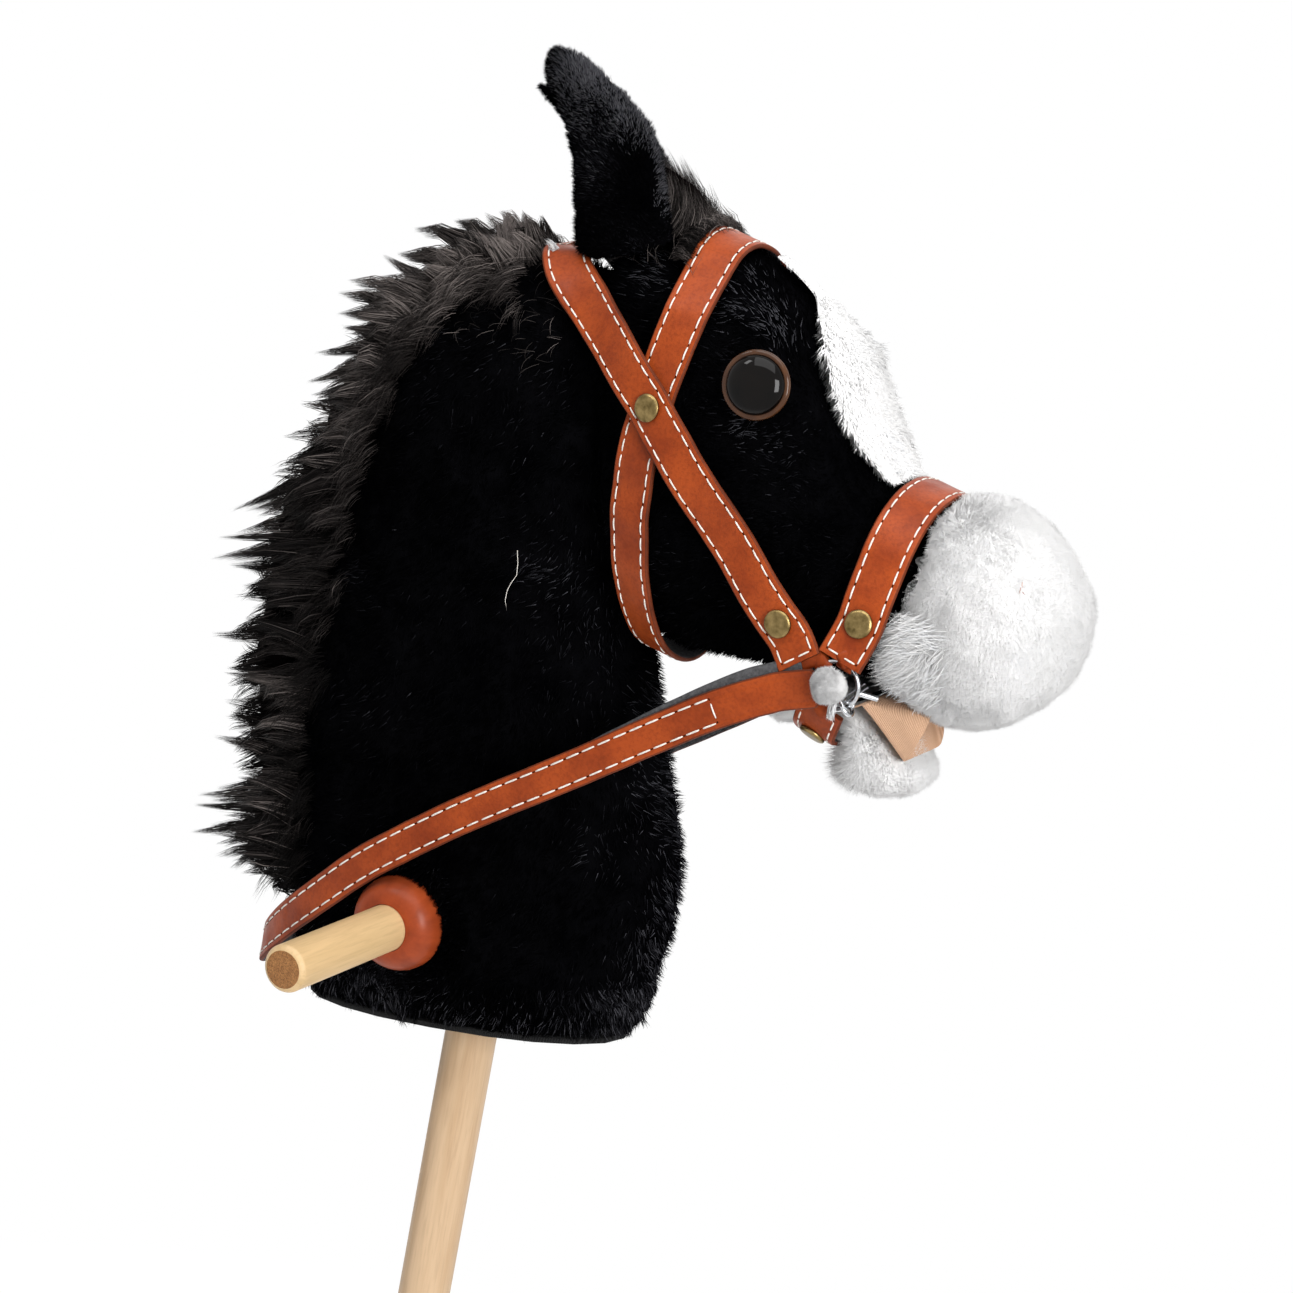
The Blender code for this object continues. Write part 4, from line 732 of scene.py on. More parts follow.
def spline(points, at):
    """Points on a Catmull-Rom curve, at shares from 0 to 1."""
    points = np.asarray(points, float)
    last = len(points) - 1
    at = np.clip(np.asarray(at, float), 0, 1) * last
    i = np.minimum(at.astype(int), last - 1)
    t = (at - i)[:, None]
    p0, p1, p2, p3 = (points[np.clip(i + k, 0, last)] for k in (-1, 0, 1, 2))
    return 0.5 * (2 * p1 + (p2 - p0) * t + (2 * p0 - 5 * p1 + 4 * p2 - p3) * t**2
                  + (3 * p1 - p0 - 3 * p2 + p3) * t**3)


def lock(root, tip, spread, count, bend, rng, taper=0.03, least=0.72):
    """A lock of hair: strands that start apart round its root and come together at its tip."""
    root, tip = np.asarray(root, float), np.asarray(tip, float)
    axis = unit(tip - root)
    helper = unit(np.cross(axis, [0.0, 1.0, 0.0]))
    away = np.sqrt(rng.random(count)) * spread
    turn = rng.random(count) * math.tau
    aside = (helper * (np.cos(turn) * away)[:, None]
             + np.cross(axis, helper) * (np.sin(turn) * away)[:, None] * 1.3)
    reach = rng.uniform(least, 1.0, (count, 1))
    share = np.linspace(0, 1, LOCK_STEPS)
    lines = np.stack([root + (tip - root) * s * reach + np.asarray(bend) * math.sin(math.pi * s) * reach
                      + aside * ((1 - s * reach) ** 1.1 + taper * s) for s in share], 1)
    lines[:, 1:] += rng.normal(0, 0.0004, (count, LOCK_STEPS - 1, 3)) * share[1:, None]
    return lines


def grown_hair(name, locks, width, shares=HAIR_SHARES, over=None, top_highlight=6.5):
    """Locks of hair in one piece, with more of the pale tones towards the top of the mane: painted highlight
    where the light catches it.
    """
    lines = np.concatenate(locks)
    if over is not None:
        root, middle, tip = lines[:, 0], lines[:, LOCK_STEPS // 2], lines[:, -1]
        lines = lines[clear_of(over, root, middle) & clear_of(over, middle, tip)]
    taper = np.linspace(1, 0.55, LOCK_STEPS - 1)[None]
    radii = hair_rng.uniform(0.7, 1.25, (len(lines), 1)) * width / 2 * taper
    slots = tones(lines[:, -1], hair_rng, 0.012, 77, shares, (lines[:, -1, 2] - 0.17) * top_highlight)
    return placed(tapered(name, lines, radii, HAIR, slots), "mane_pile")


def tuft(name, lines, radius, materials, facing=None):
    """White fibres in one piece, with their tones mixed at random."""
    return placed(tapered(name, lines, np.full((len(lines), LOCK_STEPS - 1), 1.0) * radius, materials,
                          hair_rng.integers(0, 3, len(lines)), facing=facing), "white_plush")


LOCK_STEPS = 4
hair_rng = np.random.default_rng(41)
mane_ground = placed(stuffed("mane_ground", "mane", HAIR_BACK, voxel=0.004, inset=0.0085, lumps=0.003,
                             lump_size=0.016, seed=42, cap=0), "mane_pile", "mane")
mane_locks = []
for i, (tip_x, tip_z) in enumerate(MANE_TIPS):
    root_x, root_z = spline(MANE_SPINE, [(i + 0.5) / len(MANE_TIPS)])[0]
    for side_y in (-0.004, 0.004):
        tip = np.array((tip_x, side_y * 1.5 + hair_rng.normal(0, 0.003), tip_z))
        root = np.array((root_x, side_y * 1.6, root_z)) + hair_rng.normal(0, 0.002, 3)
        bend = np.array((0.0, 0.0, 0.006)) + hair_rng.normal(0, 0.002, 3)
        mane_locks.append(lock(root, tip, 0.0070, 96, bend, hair_rng, 0.02, 0.80))
# Between the long spikes: shorter spikes, and then the body of the mane
for count, strands, low, high, stray_way, wide in ((170, 50, 0.48, 0.76, 0.15, 0.0062),
                                                   (340, 30, 0.32, 0.58, 0.20, 0.0070)):
    for _ in range(count):
        share = hair_rng.random()
        spine = spline(MANE_SPINE, [share])[0]
        ahead = spline(MANE_TIPS, [share])[0] - spine
        out = unit(ahead)
        side_y = hair_rng.uniform(-1, 1)
        root = np.array((spine[0] + out[0] * 0.004, side_y * 0.017, spine[1] + out[1] * 0.004))
        length = np.linalg.norm(ahead) * hair_rng.uniform(low, high)
        sweep = unit(np.array((out[0], side_y * 0.40, out[1] - 0.15 + hair_rng.normal(0, stray_way))))
        bend = np.array((0, side_y * 0.006, 0.004)) + hair_rng.normal(0, 0.0015, 3)
        mane_locks.append(lock(root, root + sweep * length, wide, strands, bend, hair_rng, 0.02, 0.75))
heights = [strands[0, -1, 2] for strands in mane_locks]
# The top locks get more of the glint and pale tones: painted highlight on the top of the mane.
for title, low, high, shares in (("mane_hair_top", 0.225, 1, (0.08, 0.22, 0.36, 0.34)),
                                 ("mane_hair_middle", 0.085, 0.225, HAIR_SHARES),
                                 ("mane_hair_low", -1, 0.085, HAIR_SHARES)):
    within = [strands for strands, height in zip(mane_locks, heights) if low < height <= high]
    grown_hair(title, within, 0.00050, shares)

# Hair that covers the mane's ground from close by
cover_locks = []
for root, normal in zip(*sampled(mane_ground, 420, hair_rng)):
    way = unit(normal * np.array((0.55, 0.75, 0.3)) + np.array((-0.55, 0, -0.45)) + hair_rng.normal(0, 0.22, 3))
    cover_locks.append(lock(root - normal * 0.002, root + way * hair_rng.uniform(0.012, 0.021), 0.0050, 20,
                            normal * 0.003, hair_rng, 0.15, 0.6))
grown_hair("mane_ground_hair", cover_locks, 0.00046, (0.34, 0.34, 0.24, 0.08))

# Shorter hair that falls from the mane over the sides of the neck
fall = []
for _ in range(640):
    share, side = hair_rng.random() ** 1.3, hair_rng.choice((-1, 1))
    spine = spline(MANE_SPINE, [share])[0]
    forward = unit(spine - spline(MANE_TIPS, [share])[0])
    x, z = spine + forward * hair_rng.uniform(-0.004, 0.016)
    root = np.array((x, side * hair_rng.uniform(0.010, 0.026), z))
    way = unit(np.array((-forward[0] * 0.3 - 0.15, side * 0.60, -0.70 - forward[1] * 0.2))
               + hair_rng.normal(0, 0.25, 3))
    fall.append(lock(root, root + way * hair_rng.uniform(0.014, 0.028), 0.005, 18, (0, side * 0.005, 0.003),
                     hair_rng, 0.35, 0.5))
grown_hair("mane_edge_hair", fall, 0.00040, (0.36, 0.36, 0.22, 0.06), OVER)


def stray(name, cover, keep, count, length, width, sway, shares):
    """Single loose fibres that lie tangled over a pile."""
    roots, normals = sampled(cover, count, hair_rng, keep)
    ways = np.asarray(sway, float)[None] + hair_rng.normal(0, 0.45, (count, 3))
    ways = unit(ways - normals * (ways * normals).sum(1, keepdims=True) * 0.9)
    turns = unit(np.cross(ways, normals)) * hair_rng.normal(0, 0.22, (count, 1))
    reach = length * hair_rng.uniform(0.5, 1.3, (count, 1))
    lines = np.stack([roots + normals * 0.004 + (ways * t + turns * t * t) * reach
                      + normals * math.sin(math.pi * t) * 0.003 for t in np.linspace(0, 1, 5)], 1)
    radii = np.repeat(hair_rng.uniform(0.7, 1.2, (count, 1)) * width / 2, 4, 1)
    placed(tapered(name, lines, radii, HAIR, tones(roots, hair_rng, 0.02, 91, shares)), "mane_pile")


stray("mane_stray_hair", neck, lambda p: (p[:, 2] > 0.272) & (p[:, 0] < 0.002), 300, 0.010, 0.00016,
      (-0.6, 0, -0.3), (0.25, 0.42, 0.28, 0.05))
placed(stuffed("forelock_ground", "forelock", HAIR_BACK, voxel=0.003, inset=0.004, lumps=0.001, lump_size=0.01,
               seed=43, soft=2, cap=0), "mane_pile", "forelock")
FORELOCK_TOP = [(-0.004, 0.362), (0.006, 0.371), (0.020, 0.371), (0.034, 0.363), (0.047, 0.352), (0.056, 0.345)]
tuft_locks = []
for _ in range(230):
    share = hair_rng.random()
    y = hair_rng.uniform(-0.016, 0.014)
    root = np.array((0.050, y, 0.337)) * share + np.array((0.002, y, 0.341)) * (1 - share)
    top = spline(FORELOCK_TOP, [share * hair_rng.uniform(0.75, 1.0)])[0]
    tip = (top[0] - 0.001, y * 0.8, top[1] + hair_rng.uniform(-0.007, 0.001))
    tuft_locks.append(lock(root, tip, 0.005, 30, (0.004, y * 0.15, 0.002), hair_rng, 0.3, 0.5))
grown_hair("forelock_hair", tuft_locks, 0.00034, (0.12, 0.30, 0.36, 0.22), OVER, 0.0)
stray("forelock_stray_hair", head, lambda p: (p[:, 2] > 0.322) & (p[:, 0] < 0.060), 150, 0.015, 0.00022,
      (-0.5, 0, 0.35), (0.15, 0.35, 0.32, 0.18))

# A white tuft beside the ear, and a loose thread on the neck
tuft("white_tuft", lock((-0.0165, -0.0225, 0.3195), (-0.0235, -0.0215, 0.3235), 0.0020, 30, (0, -0.001, 0.001),
                        hair_rng, 0.4, 0.5), 0.00018, YARN)


def on_cover(cover, line, lift):
    """Points of (x, z) places laid on a cover's right side."""
    shape = BVHTree.FromObject(cover, bpy.context.evaluated_depsgraph_get())
    hits = [shape.ray_cast(Vector((x, -0.3, z)), LEFTWARD) for x, z in line]
    return np.array([hit + normal * lift for hit, normal, _, _ in hits])


loose = on_cover(neck, [(0.0026, 0.1885), (0.0036, 0.183), (0.0038, 0.1771), (0.0020, 0.173), (0.0011, 0.1693),
                        (0.0008, 0.165), (0.0019, 0.1601)], 0.0042)
placed(tapered("loose_thread", loose[None], np.full((1, 6), 0.00016), [THREAD], [0], 5), "white_plush")

# The fluff of the muzzle's lower rear corners, which swells back under the noseband's ends
FLUFF_EDGE = [(0.1865, 0.2090), (0.1822, 0.2000), (0.1795, 0.1912), (0.1789, 0.1852), (0.1809, 0.1804),
              (0.1874, 0.1772), (0.1973, 0.1757), (0.2062, 0.1757)]
FLUFF_MIDDLE = np.array((0.208, 0.206))
muzzle_shape = BVHTree.FromObject(muzzle, bpy.context.evaluated_depsgraph_get())
for side_name, side in SIDES:
    fluff = []
    for _ in range(1900):
        edge = spline(FLUFF_EDGE, [hair_rng.random()])[0]
        way = unit(FLUFF_MIDDLE - edge)
        shift = hair_rng.random() ** 1.3 * 0.013
        tip_x, tip_z = edge + way * shift + hair_rng.normal(0, 0.0012, 2)
        root_x, root_z = edge + way * (shift + hair_rng.uniform(0.006, 0.012)) + hair_rng.normal(0, 0.003, 2)
        hit = muzzle_shape.ray_cast(Vector((root_x, side * 0.3, root_z)), Vector((0, -side, 0)))[0]
        if hit is None:
            continue
        root = np.array(hit) - np.array((0, side * 0.004, 0))
        tip = (tip_x, side * (0.0445 - 0.004 * (tip_z < 0.181)) + hair_rng.normal(0, 0.0014), tip_z)
        fluff.append(lock(root, tip, 0.0042, 6, (0, side * 0.0015, 0), hair_rng, 1.0, 0.5))
    fluff = np.concatenate(fluff)
    facing = unit(np.array((-0.25, side, 0.05)) + hair_rng.normal(0, 0.05, (len(fluff), 3)))
    tuft(f"muzzle_fluff_{side_name}", fluff, 0.00020 * np.array((1, 1, 0.8)), WHITE_PILE, facing)

# Rusty fibres on the muzzle
rust = [on_cover(muzzle, [(x + k * dx, z + k * dz) for k in range(3)], 0.0043)
        for x, z, dx, dz in ((0.2330, 0.2352, 0.0004, -0.0009), (0.2333, 0.2336, 0.0001, -0.0010),
                             (0.2343, 0.2324, 0.0005, -0.0004))]
placed(tapered("rust_fibres", np.array(rust), np.full((3, 2), 0.00022), [RUST], [0, 0, 0]), "white_plush")


# Leather straps

def cad_stations(cad, width):
    """The full-width sections of a CAD strap, in order from the right ring: centre and outward normal."""
    points = corners_of(cad)
    apart = np.linalg.norm(points[:, None] - points[None], axis=2)
    first, second = np.argwhere(np.triu(np.abs(apart - THICKNESS) < 2e-5)).T
    middles = (points[first] + points[second]) / 2
    ways = (points[second] - points[first]) / THICKNESS
    found = []
    for i, j in itertools.combinations(range(len(middles)), 2):
        across = middles[j] - middles[i]
        if abs(np.linalg.norm(across) - width) < 3e-5 and abs(ways[i] @ ways[j]) > 0.9999 \
                and abs(across @ ways[i]) < 1e-4:
            found.append(((middles[i] + middles[j]) / 2, ways[i]))
    places = np.array([place for place, _ in found])
    from_ring = np.hypot(places[:, 0] - RING_CENTRE.x, places[:, 2] - RING_CENTRE.z)
    order = [min(range(len(found)), key=lambda k: (places[k][1] > 0, from_ring[k]))]
    left = set(range(len(found))) - set(order)
    while left:
        away = {k: np.linalg.norm(places[k] - places[order[-1]]) for k in left}
        nearest = min(left, key=away.get)
        left.remove(nearest)
        if away[nearest] > 1e-4:
            order.append(nearest)
    return [found[k] for k in order]


def outward(stations, inside):
    """Turns the stations' normals away from a line of points inside the form."""
    return [(place, normal if normal @ (place - inside(place)) > 0 else -normal) for place, normal in stations]


def even(values, reach, at):
    """Values along a run, read at other distances along it."""
    return np.stack([np.interp(at, reach, values[:, k]) for k in range(3)], 1)


def run_length(line):
    return np.concatenate(([0], np.cumsum(np.linalg.norm(np.diff(line, axis=0), axis=1))))


def refined(stations, closed=False, pitch=0.0025):
    """Smooth stations at an even pitch: centre, normal, across, and the run's distance."""
    places, normals = (np.array([station[part] for station in stations]) for part in (0, 1))
    if closed:
        places, normals = (np.concatenate([row[-2:], row, row[:3]]) for row in (places, normals))
    fine = np.linspace(0, 1, (len(places) - 1) * 12 + 1)
    line, facing = spline(places, fine), spline(normals, fine)
    if closed:
        line, facing = line[24:-24], facing[24:-24]
    reach = run_length(line)
    at = np.linspace(0, reach[-1], max(4, int(round(reach[-1] / pitch))) + 1)
    line, facing = even(line, reach, at), even(facing, reach, at)
    if closed:
        line, facing, at = line[:-1], facing[:-1], at[:-1]
        along = unit(np.roll(line, -1, 0) - np.roll(line, 1, 0))
    else:
        along = unit(np.gradient(line, axis=0))
    facing = unit(facing - along * (facing * along).sum(1, keepdims=True))
    return line, facing, np.cross(along, facing), at


STITCH_INSET, GROOVE = 0.0030, 0.00022
FACE, EDGE, BACK = 0, 1, 2


def strap_profile(width, thickness):
    """Half outline of a strap's section from the middle of its face to the middle of its back:
    a soft crown between the stitch rows, a groove for each row, and a burnished rounded edge."""
    half, top, row = width / 2, thickness / 2, width / 2 - STITCH_INSET
    return [(0.0, top), (0.45 * half, top + 0.00004), (row - 0.0012, top), (row - 0.0004, top - GROOVE * 0.6),
            (row, top - GROOVE), (row + 0.0004, top - GROOVE * 0.6), (row + 0.0012, top - 0.00003),
            (half - 0.0007, top - 0.00012), (half - 0.0002, top - 0.00045), (half, top - 0.0010),
            (half, -top + 0.0009), (half - 0.0003, -top + 0.0002), (half - 0.0010, -top), (0.5 * half, -top)]


def strap_body(name, run, width, thickness=THICKNESS, closed=False, widths=1.0, seed=3,
               slots=(FACE, EDGE, BACK)):
    """The leather of a strap along a run, with its face, edge and back in separate slots."""
    line, facing, across, _ = run
    profile = strap_profile(width, thickness)
    outline = profile + [(0.0, -thickness / 2)] + [(-x, y) for x, y in profile[:0:-1]]
    kinds = []
    for (x0, y0), (x1, y1) in zip(outline, outline[1:] + outline[:1]):
        middle = (y0 + y1) / 2
        edge = max(abs(x0), abs(x1)) >= width / 2 - 0.0004 and abs(middle) < thickness / 2 - 0.0001
        kinds.append(slots[EDGE] if edge else slots[FACE] if middle > 0 else slots[BACK])
    outline, count, sides = np.array(outline), len(line), len(outline)
    scale = np.broadcast_to(widths, count)[:, None, None]
    centres = line[:, None] + (field(line, 0.012, seed) * 0.00018)[:, None]
    points = centres + across[:, None] * (outline[:, :1] * scale) + facing[:, None] * outline[:, 1:]
    points = points.reshape(-1, 3)
    faces = quads(count, sides, closed)
    marks = kinds * (len(faces) // sides)
    if not closed:
        faces += [(ring * sides + j, ring * sides + (j + 1) % sides, len(points) + (ring > 0))
                  for ring in (0, count - 1) for j in range(sides)]
        marks += [slots[EDGE]] * (2 * sides)
        points = np.concatenate([points, line[[0, -1]]])
    mesh = bpy.data.meshes.new(name)
    mesh.from_pydata(points.tolist(), [], faces)
    mesh.polygons.foreach_set("material_index", np.array(marks, np.int32))
    finished(mesh, 55)
    return made_object(name, mesh, [LEATHER, LEATHER_EDGE, SUEDE])


STITCH_SHARES = np.array((-0.5, -0.45, -0.25, 0.0, 0.25, 0.45, 0.5))
STITCH_HEIGHTS = np.array((-0.45, 0.05, 0.50, 0.62, 0.50, 0.05, -0.45))
STITCH_GIRTHS = np.array((0.25, 0.75, 1.0, 1.0, 1.0, 0.75, 0.25))
STITCH_WIDTH, STITCH_HEIGHT = 0.00082, 0.00055
HOLE_LENGTH, HOLE_WIDTH, HOLE_LIFT = 0.00104, 0.00080, 0.00006
SIX = [(math.cos(math.tau * j / 6), math.sin(math.tau * j / 6)) for j in range(6)]
HALVES = ((0, 1, 2, 3), (3, 4, 5, 0))
STITCH_POINTS = 54  # seven rings of six for the thread, and six for the hole at each end
STITCH_FACES = np.array(quads(7, 6) + [tuple(j for j in half) for half in HALVES]
                        + [tuple(36 + -j % 6 for j in half) for half in HALVES]
                        + [tuple(hole + j for j in half) for hole in (42, 48) for half in HALVES])
STITCH_SLOTS = [0] * 40 + [1] * 4


def stitch_points(places, normals, pitch=0.0072, length=0.0062):
    """Stitches of thread along a line of points. Each one dips into a needle hole at both ends, where a flat
    dark disc is painted shade in the hole.
    """
    reach = run_length(places)
    count = max(1, int(reach[-1] / pitch))
    pitch = reach[-1] / count

    def at_reach(at):
        return even(places, reach, at), unit(even(normals, reach, at))

    points = []
    for n in range(count):
        centre, normal = at_reach((n + 0.5) * pitch + STITCH_SHARES * length)
        along = unit(centre[-1] - centre[0])
        side = unit(np.cross(along[None], normal))
        centre = centre + normal * (STITCH_HEIGHTS * STITCH_HEIGHT)[:, None]
        points += [c + s * cos * STITCH_WIDTH / 2 * girth + up * sin * STITCH_HEIGHT / 2 * girth
                   for c, up, s, girth in zip(centre, normal, side, STITCH_GIRTHS) for cos, sin in SIX]
        for way in (-1, 1):
            (hole,), (normal,) = at_reach([(n + 0.5 + way * 0.47) * pitch])
            hole = hole + normal * HOLE_LIFT
            points += [hole + along * cos * HOLE_LENGTH / 2 + side[3] * sin * HOLE_WIDTH / 2
                       for cos, sin in SIX]
    return points


def stitching(name, lines, body="root", **style):
    """One piece with all the stitches of a strap."""
    points = np.concatenate([stitch_points(places, normals, **style) for places, normals in lines])
    count = len(points) // STITCH_POINTS
    faces = np.concatenate([STITCH_FACES + STITCH_POINTS * n for n in range(count)])
    placed(from_arrays(name, points, faces, [THREAD, HOLE_SHADE], STITCH_SLOTS * count), "brown_leather", body=body)


def rows_beside(run, width, first=0, last=None, widths=1.0):
    """The two stitch rows of a strap's face, as lines of places and normals."""
    line, facing, across, _ = run
    half = width / 2 * np.broadcast_to(widths, len(line))[:, None] - STITCH_INSET
    places = [line + across * side * half + facing * (THICKNESS / 2 - GROOVE) for side in (-1, 1)]
    return [(row[first:last], facing[first:last]) for row in places]


def end_rows(run, width, *ends):
    """Short rows of stitches across a strap."""
    line, facing, across, _ = run
    half = width / 2 - STITCH_INSET
    return [(np.array([line[at] + across[at] * half * t + facing[at] * (THICKNESS / 2 - GROOVE * 0.4)
                       for t in np.linspace(-1, 1, 7)]), np.repeat(facing[at][None], 7, 0)) for at in ends]


def tab_piece(title, side, angle, start, body="root"):
    """The narrow leather fold that ties a strap's end to its ring."""
    radial, flat = np.array((math.cos(angle), 0, math.sin(angle))), np.array((0, side, 0.0))
    near, wire, inner = (np.array(RING_CENTRE) * (1, side, 1) + radial * (RING_RADIUS + past)
                         for past in (0.0036, 0, -0.0026))
    line, facing, across, _ = refined([(start, flat), ((start + near) / 2 + flat * 0.0004, flat), (near, flat),
                                       (wire, flat), (inner, flat)], pitch=0.0012)
    count, sides = len(line), 16
    swell = np.clip(1 - np.linalg.norm(line - wire, axis=1) / 0.0075, 0, 1)
    points = []
    for i in range(count):
        thick = THICKNESS / 2 + (FOLD_THICKNESS - THICKNESS) / 2 * min(1, swell[i] * 1.6)
        end = min(1.0, (count - 1 - i + 0.4) / 2.2)
        for turn in np.arange(sides) * math.tau / sides:
            c, s = math.cos(turn), math.sin(turn)
            x = math.copysign(abs(c) ** 0.5, c) * (TAB_WIDTH / 2 + 0.0008)
            y = math.copysign(abs(s) ** 0.6, s) * thick * end ** 0.5
            points.append(line[i] + across[i] * x + facing[i] * y)
    made = from_arrays(f"{title}_tab_{'left' if side > 0 else 'right'}", points, quads(count, sides), [LEATHER])
    finished(made.data, fill=True)
    placed(made, "brown_leather", body=body)


def both_ends(stations, start):
    """The stations with the strap's own end put before the first one, and mirrored after the last."""
    place, normal = (np.array(v, float) for v in start)
    mirror = np.array((1, -1, 1))
    return [(place, normal)] + list(stations) + [(place * mirror, normal * mirror)]


def inside_head(place):
    return np.array((min(max(place[0], 0.0), 0.24), 0.0, min(place[2], 0.27) * 0.5 + 0.11))


def inside_jaw(place):
    return np.array((place[0], 0, 0.165))


def inside_rein(place):
    return np.array((min(place[0], 0.15) + 0.001, 0, place[2]))


CROWN_END = ((0.1528, -0.0553, 0.1813), (0, -1, 0.0))
NOSE_END = ((0.1705, -0.0550, 0.1870), (0, -1, 0.08))
CHIN_END = ((0.1655, -0.0515, 0.1650), (0, -1, -0.3))
REIN_END = ((0.1655, -0.0592, 0.1745), (0, -1, 0.0))


def strap_run(cad, end, inside=inside_head):
    return refined(both_ends(outward(cad_stations(cad, STRAP_WIDTH)[1:-1], inside), end))


brow_run = refined(outward(cad_stations("brow_throat_strap", STRAP_WIDTH), inside_head), closed=True)
# The strap presses into the pile on the forehead
pressed = 0.0026 * np.clip((brow_run[0][:, 2] - 0.312) / 0.016, 0, 1)
brow_run = (brow_run[0] - brow_run[1] * pressed[:, None], *brow_run[1:])
for title, run, cad in (("crown", strap_run("crown_strap", CROWN_END), "crown_strap"),
                        ("noseband", strap_run("noseband", NOSE_END), "noseband"),
                        ("chin", strap_run("chin_strap", CHIN_END, inside_jaw), "chin_strap"),
                        ("brow_throat", brow_run, "brow_throat_strap")):
    closed = run is brow_run
    name = f"{title}_leather"
    placed(strap_body(name, run, STRAP_WIDTH, closed=closed, seed=len(name)), "brown_leather", cad)
    if closed:
        rows = [[np.concatenate([part, part[:1]]) for part in row] for row in rows_beside(run, STRAP_WIDTH)]
    else:
        rows = rows_beside(run, STRAP_WIDTH, 1, -1) + end_rows(run, STRAP_WIDTH, 1, -2)
    stitching(f"{title}_stitches", rows)
for side_name, side in SIDES:
    for title, end, angle in (("crown", CROWN_END, 138), ("nose", NOSE_END, 75), ("chin", CHIN_END, 250)):
        place = np.array(end[0]) * (1, -side, 1) - np.array((0, side * 0.0012, 0))
        tab_piece(title, side, math.radians(angle), place)

# The forelock's short hair lies over the rear edge of the strap on the forehead
line, facing, across, _ = brow_run
on_forehead = np.nonzero((line[:, 2] > 0.330) & (np.abs(line[:, 1]) < 0.030))[0]
edge_locks = []
for _ in range(170):
    k = hair_rng.choice(on_forehead)
    rearward = across[k] * (-1 if across[k][0] > 0 else 1)
    rear = line[k] + rearward * STRAP_WIDTH / 2 + facing[k] * 0.0022
    start = rear + rearward * 0.006 - facing[k] * 0.0015
    tip = rear - rearward * hair_rng.uniform(0.001, 0.0055) + np.array((0, hair_rng.normal(0, 0.003), 0))
    edge_locks.append(lock(start, tip, 0.0026, 16, facing[k] * 0.0022, hair_rng, 0.4, 0.6))
grown_hair("forelock_edge_hair", edge_locks, 0.00030, (0.30, 0.36, 0.24, 0.10), None, 0.0)

# Rein: a smooth single ply by each ring, then two plies sewn together
rein_run = refined(both_ends(outward(cad_stations("rein", REIN_WIDTH), inside_rein), REIN_END))
line, facing, across, reach = rein_run
end_share = np.clip(np.minimum(reach, reach[-1] - reach) / 0.004, 0, 1)
rein_widths = 0.70 + 0.30 * np.sqrt(1 - (1 - end_share) ** 2)
placed(strap_body("rein_leather", rein_run, REIN_WIDTH, widths=rein_widths, seed=19), "brown_leather", "rein",
       body="rein")
sewn = np.nonzero(line[:, 0] < 0.1195)[0]
stitching("rein_stitches", rows_beside(rein_run, REIN_WIDTH, sewn[0], sewn[-1] + 1, rein_widths)
          + end_rows(rein_run, REIN_WIDTH, sewn[0], sewn[-1]), "rein", pitch=0.0088, length=0.0074)
for side_name, side in SIDES:
    tab_piece("rein", side, math.radians(203), np.array(REIN_END[0]) * (1, -side, 1), "rein")
    part = (line[:, 0] > 0.060) & (line[:, 0] < 0.157) & (line[:, 1] * side > 0)
    rise = np.interp(line[part][:, 0], (0.060, 0.085, 0.110, 0.135, 0.150, 0.157),
                     (0, 0.0020, 0.0042, 0.0056, 0.0050, 0.0034))
    ply_line = line[part] - facing[part] * 0.0019 + np.array((0, 0, 1.0)) * rise[:, None]
    ply_run = (ply_line, facing[part], across[part], reach[part])
    placed(strap_body(f"rein_inner_ply_{side_name}", ply_run, REIN_WIDTH * 0.96, THICKNESS / 2, seed=23,
                      slots=(BACK, BACK, BACK)), "brown_leather", body="rein")


# Turned and metal pieces

def turned(name, profile, base, axis, materials, sides=64, closed=False, slots=None):
    """A profile of (radius, distance) turned about an axis; slots gives each band its material."""
    axis = Vector(axis).normalized()
    side = axis.orthogonal().normalized()
    other = axis.cross(side)
    points, rows, faces, marks = [], [], [], []
    for radius, distance in profile:
        rows.append([len(points) + (j if radius else 0) for j in range(sides)])
        points += [Vector(base) + axis * distance + (side * math.cos(t) + other * math.sin(t)) * radius
                   for t in (math.tau * j / sides for j in range(sides if radius else 1))]
    for band, (first, second) in enumerate(zip(rows, rows[1:] + rows[:1] if closed else rows[1:])):
        for j in range(sides):
            k = (j + 1) % sides
            faces.append(tuple(dict.fromkeys((first[j], first[k], second[k], second[j]))))
            marks.append(slots[band] if slots else 0)
    mesh = bpy.data.meshes.new(name)
    mesh.from_pydata(points, [], faces)
    mesh.polygons.foreach_set("material_index", np.array(marks, np.int32))
    finished(mesh, 35)
    return made_object(name, mesh, materials)


def rounded(profile, reach, steps=3):
    """A profile with each inner corner rounded off by up to the reach."""
    smooth = [profile[0]]
    for before, corner, after in zip(profile, profile[1:], profile[2:]):
        a, b, c = (np.array(p, float) for p in (before, corner, after))
        near = min(reach, np.linalg.norm(a - b) * 0.45, np.linalg.norm(c - b) * 0.45)
        p, q = b + unit(a - b) * near, b + unit(c - b) * near
        smooth += [tuple((1 - t) ** 2 * p + 2 * t * (1 - t) * b + t * t * q)
                   for t in np.linspace(0, 1, steps + 1)]
    return smooth + [profile[-1]]


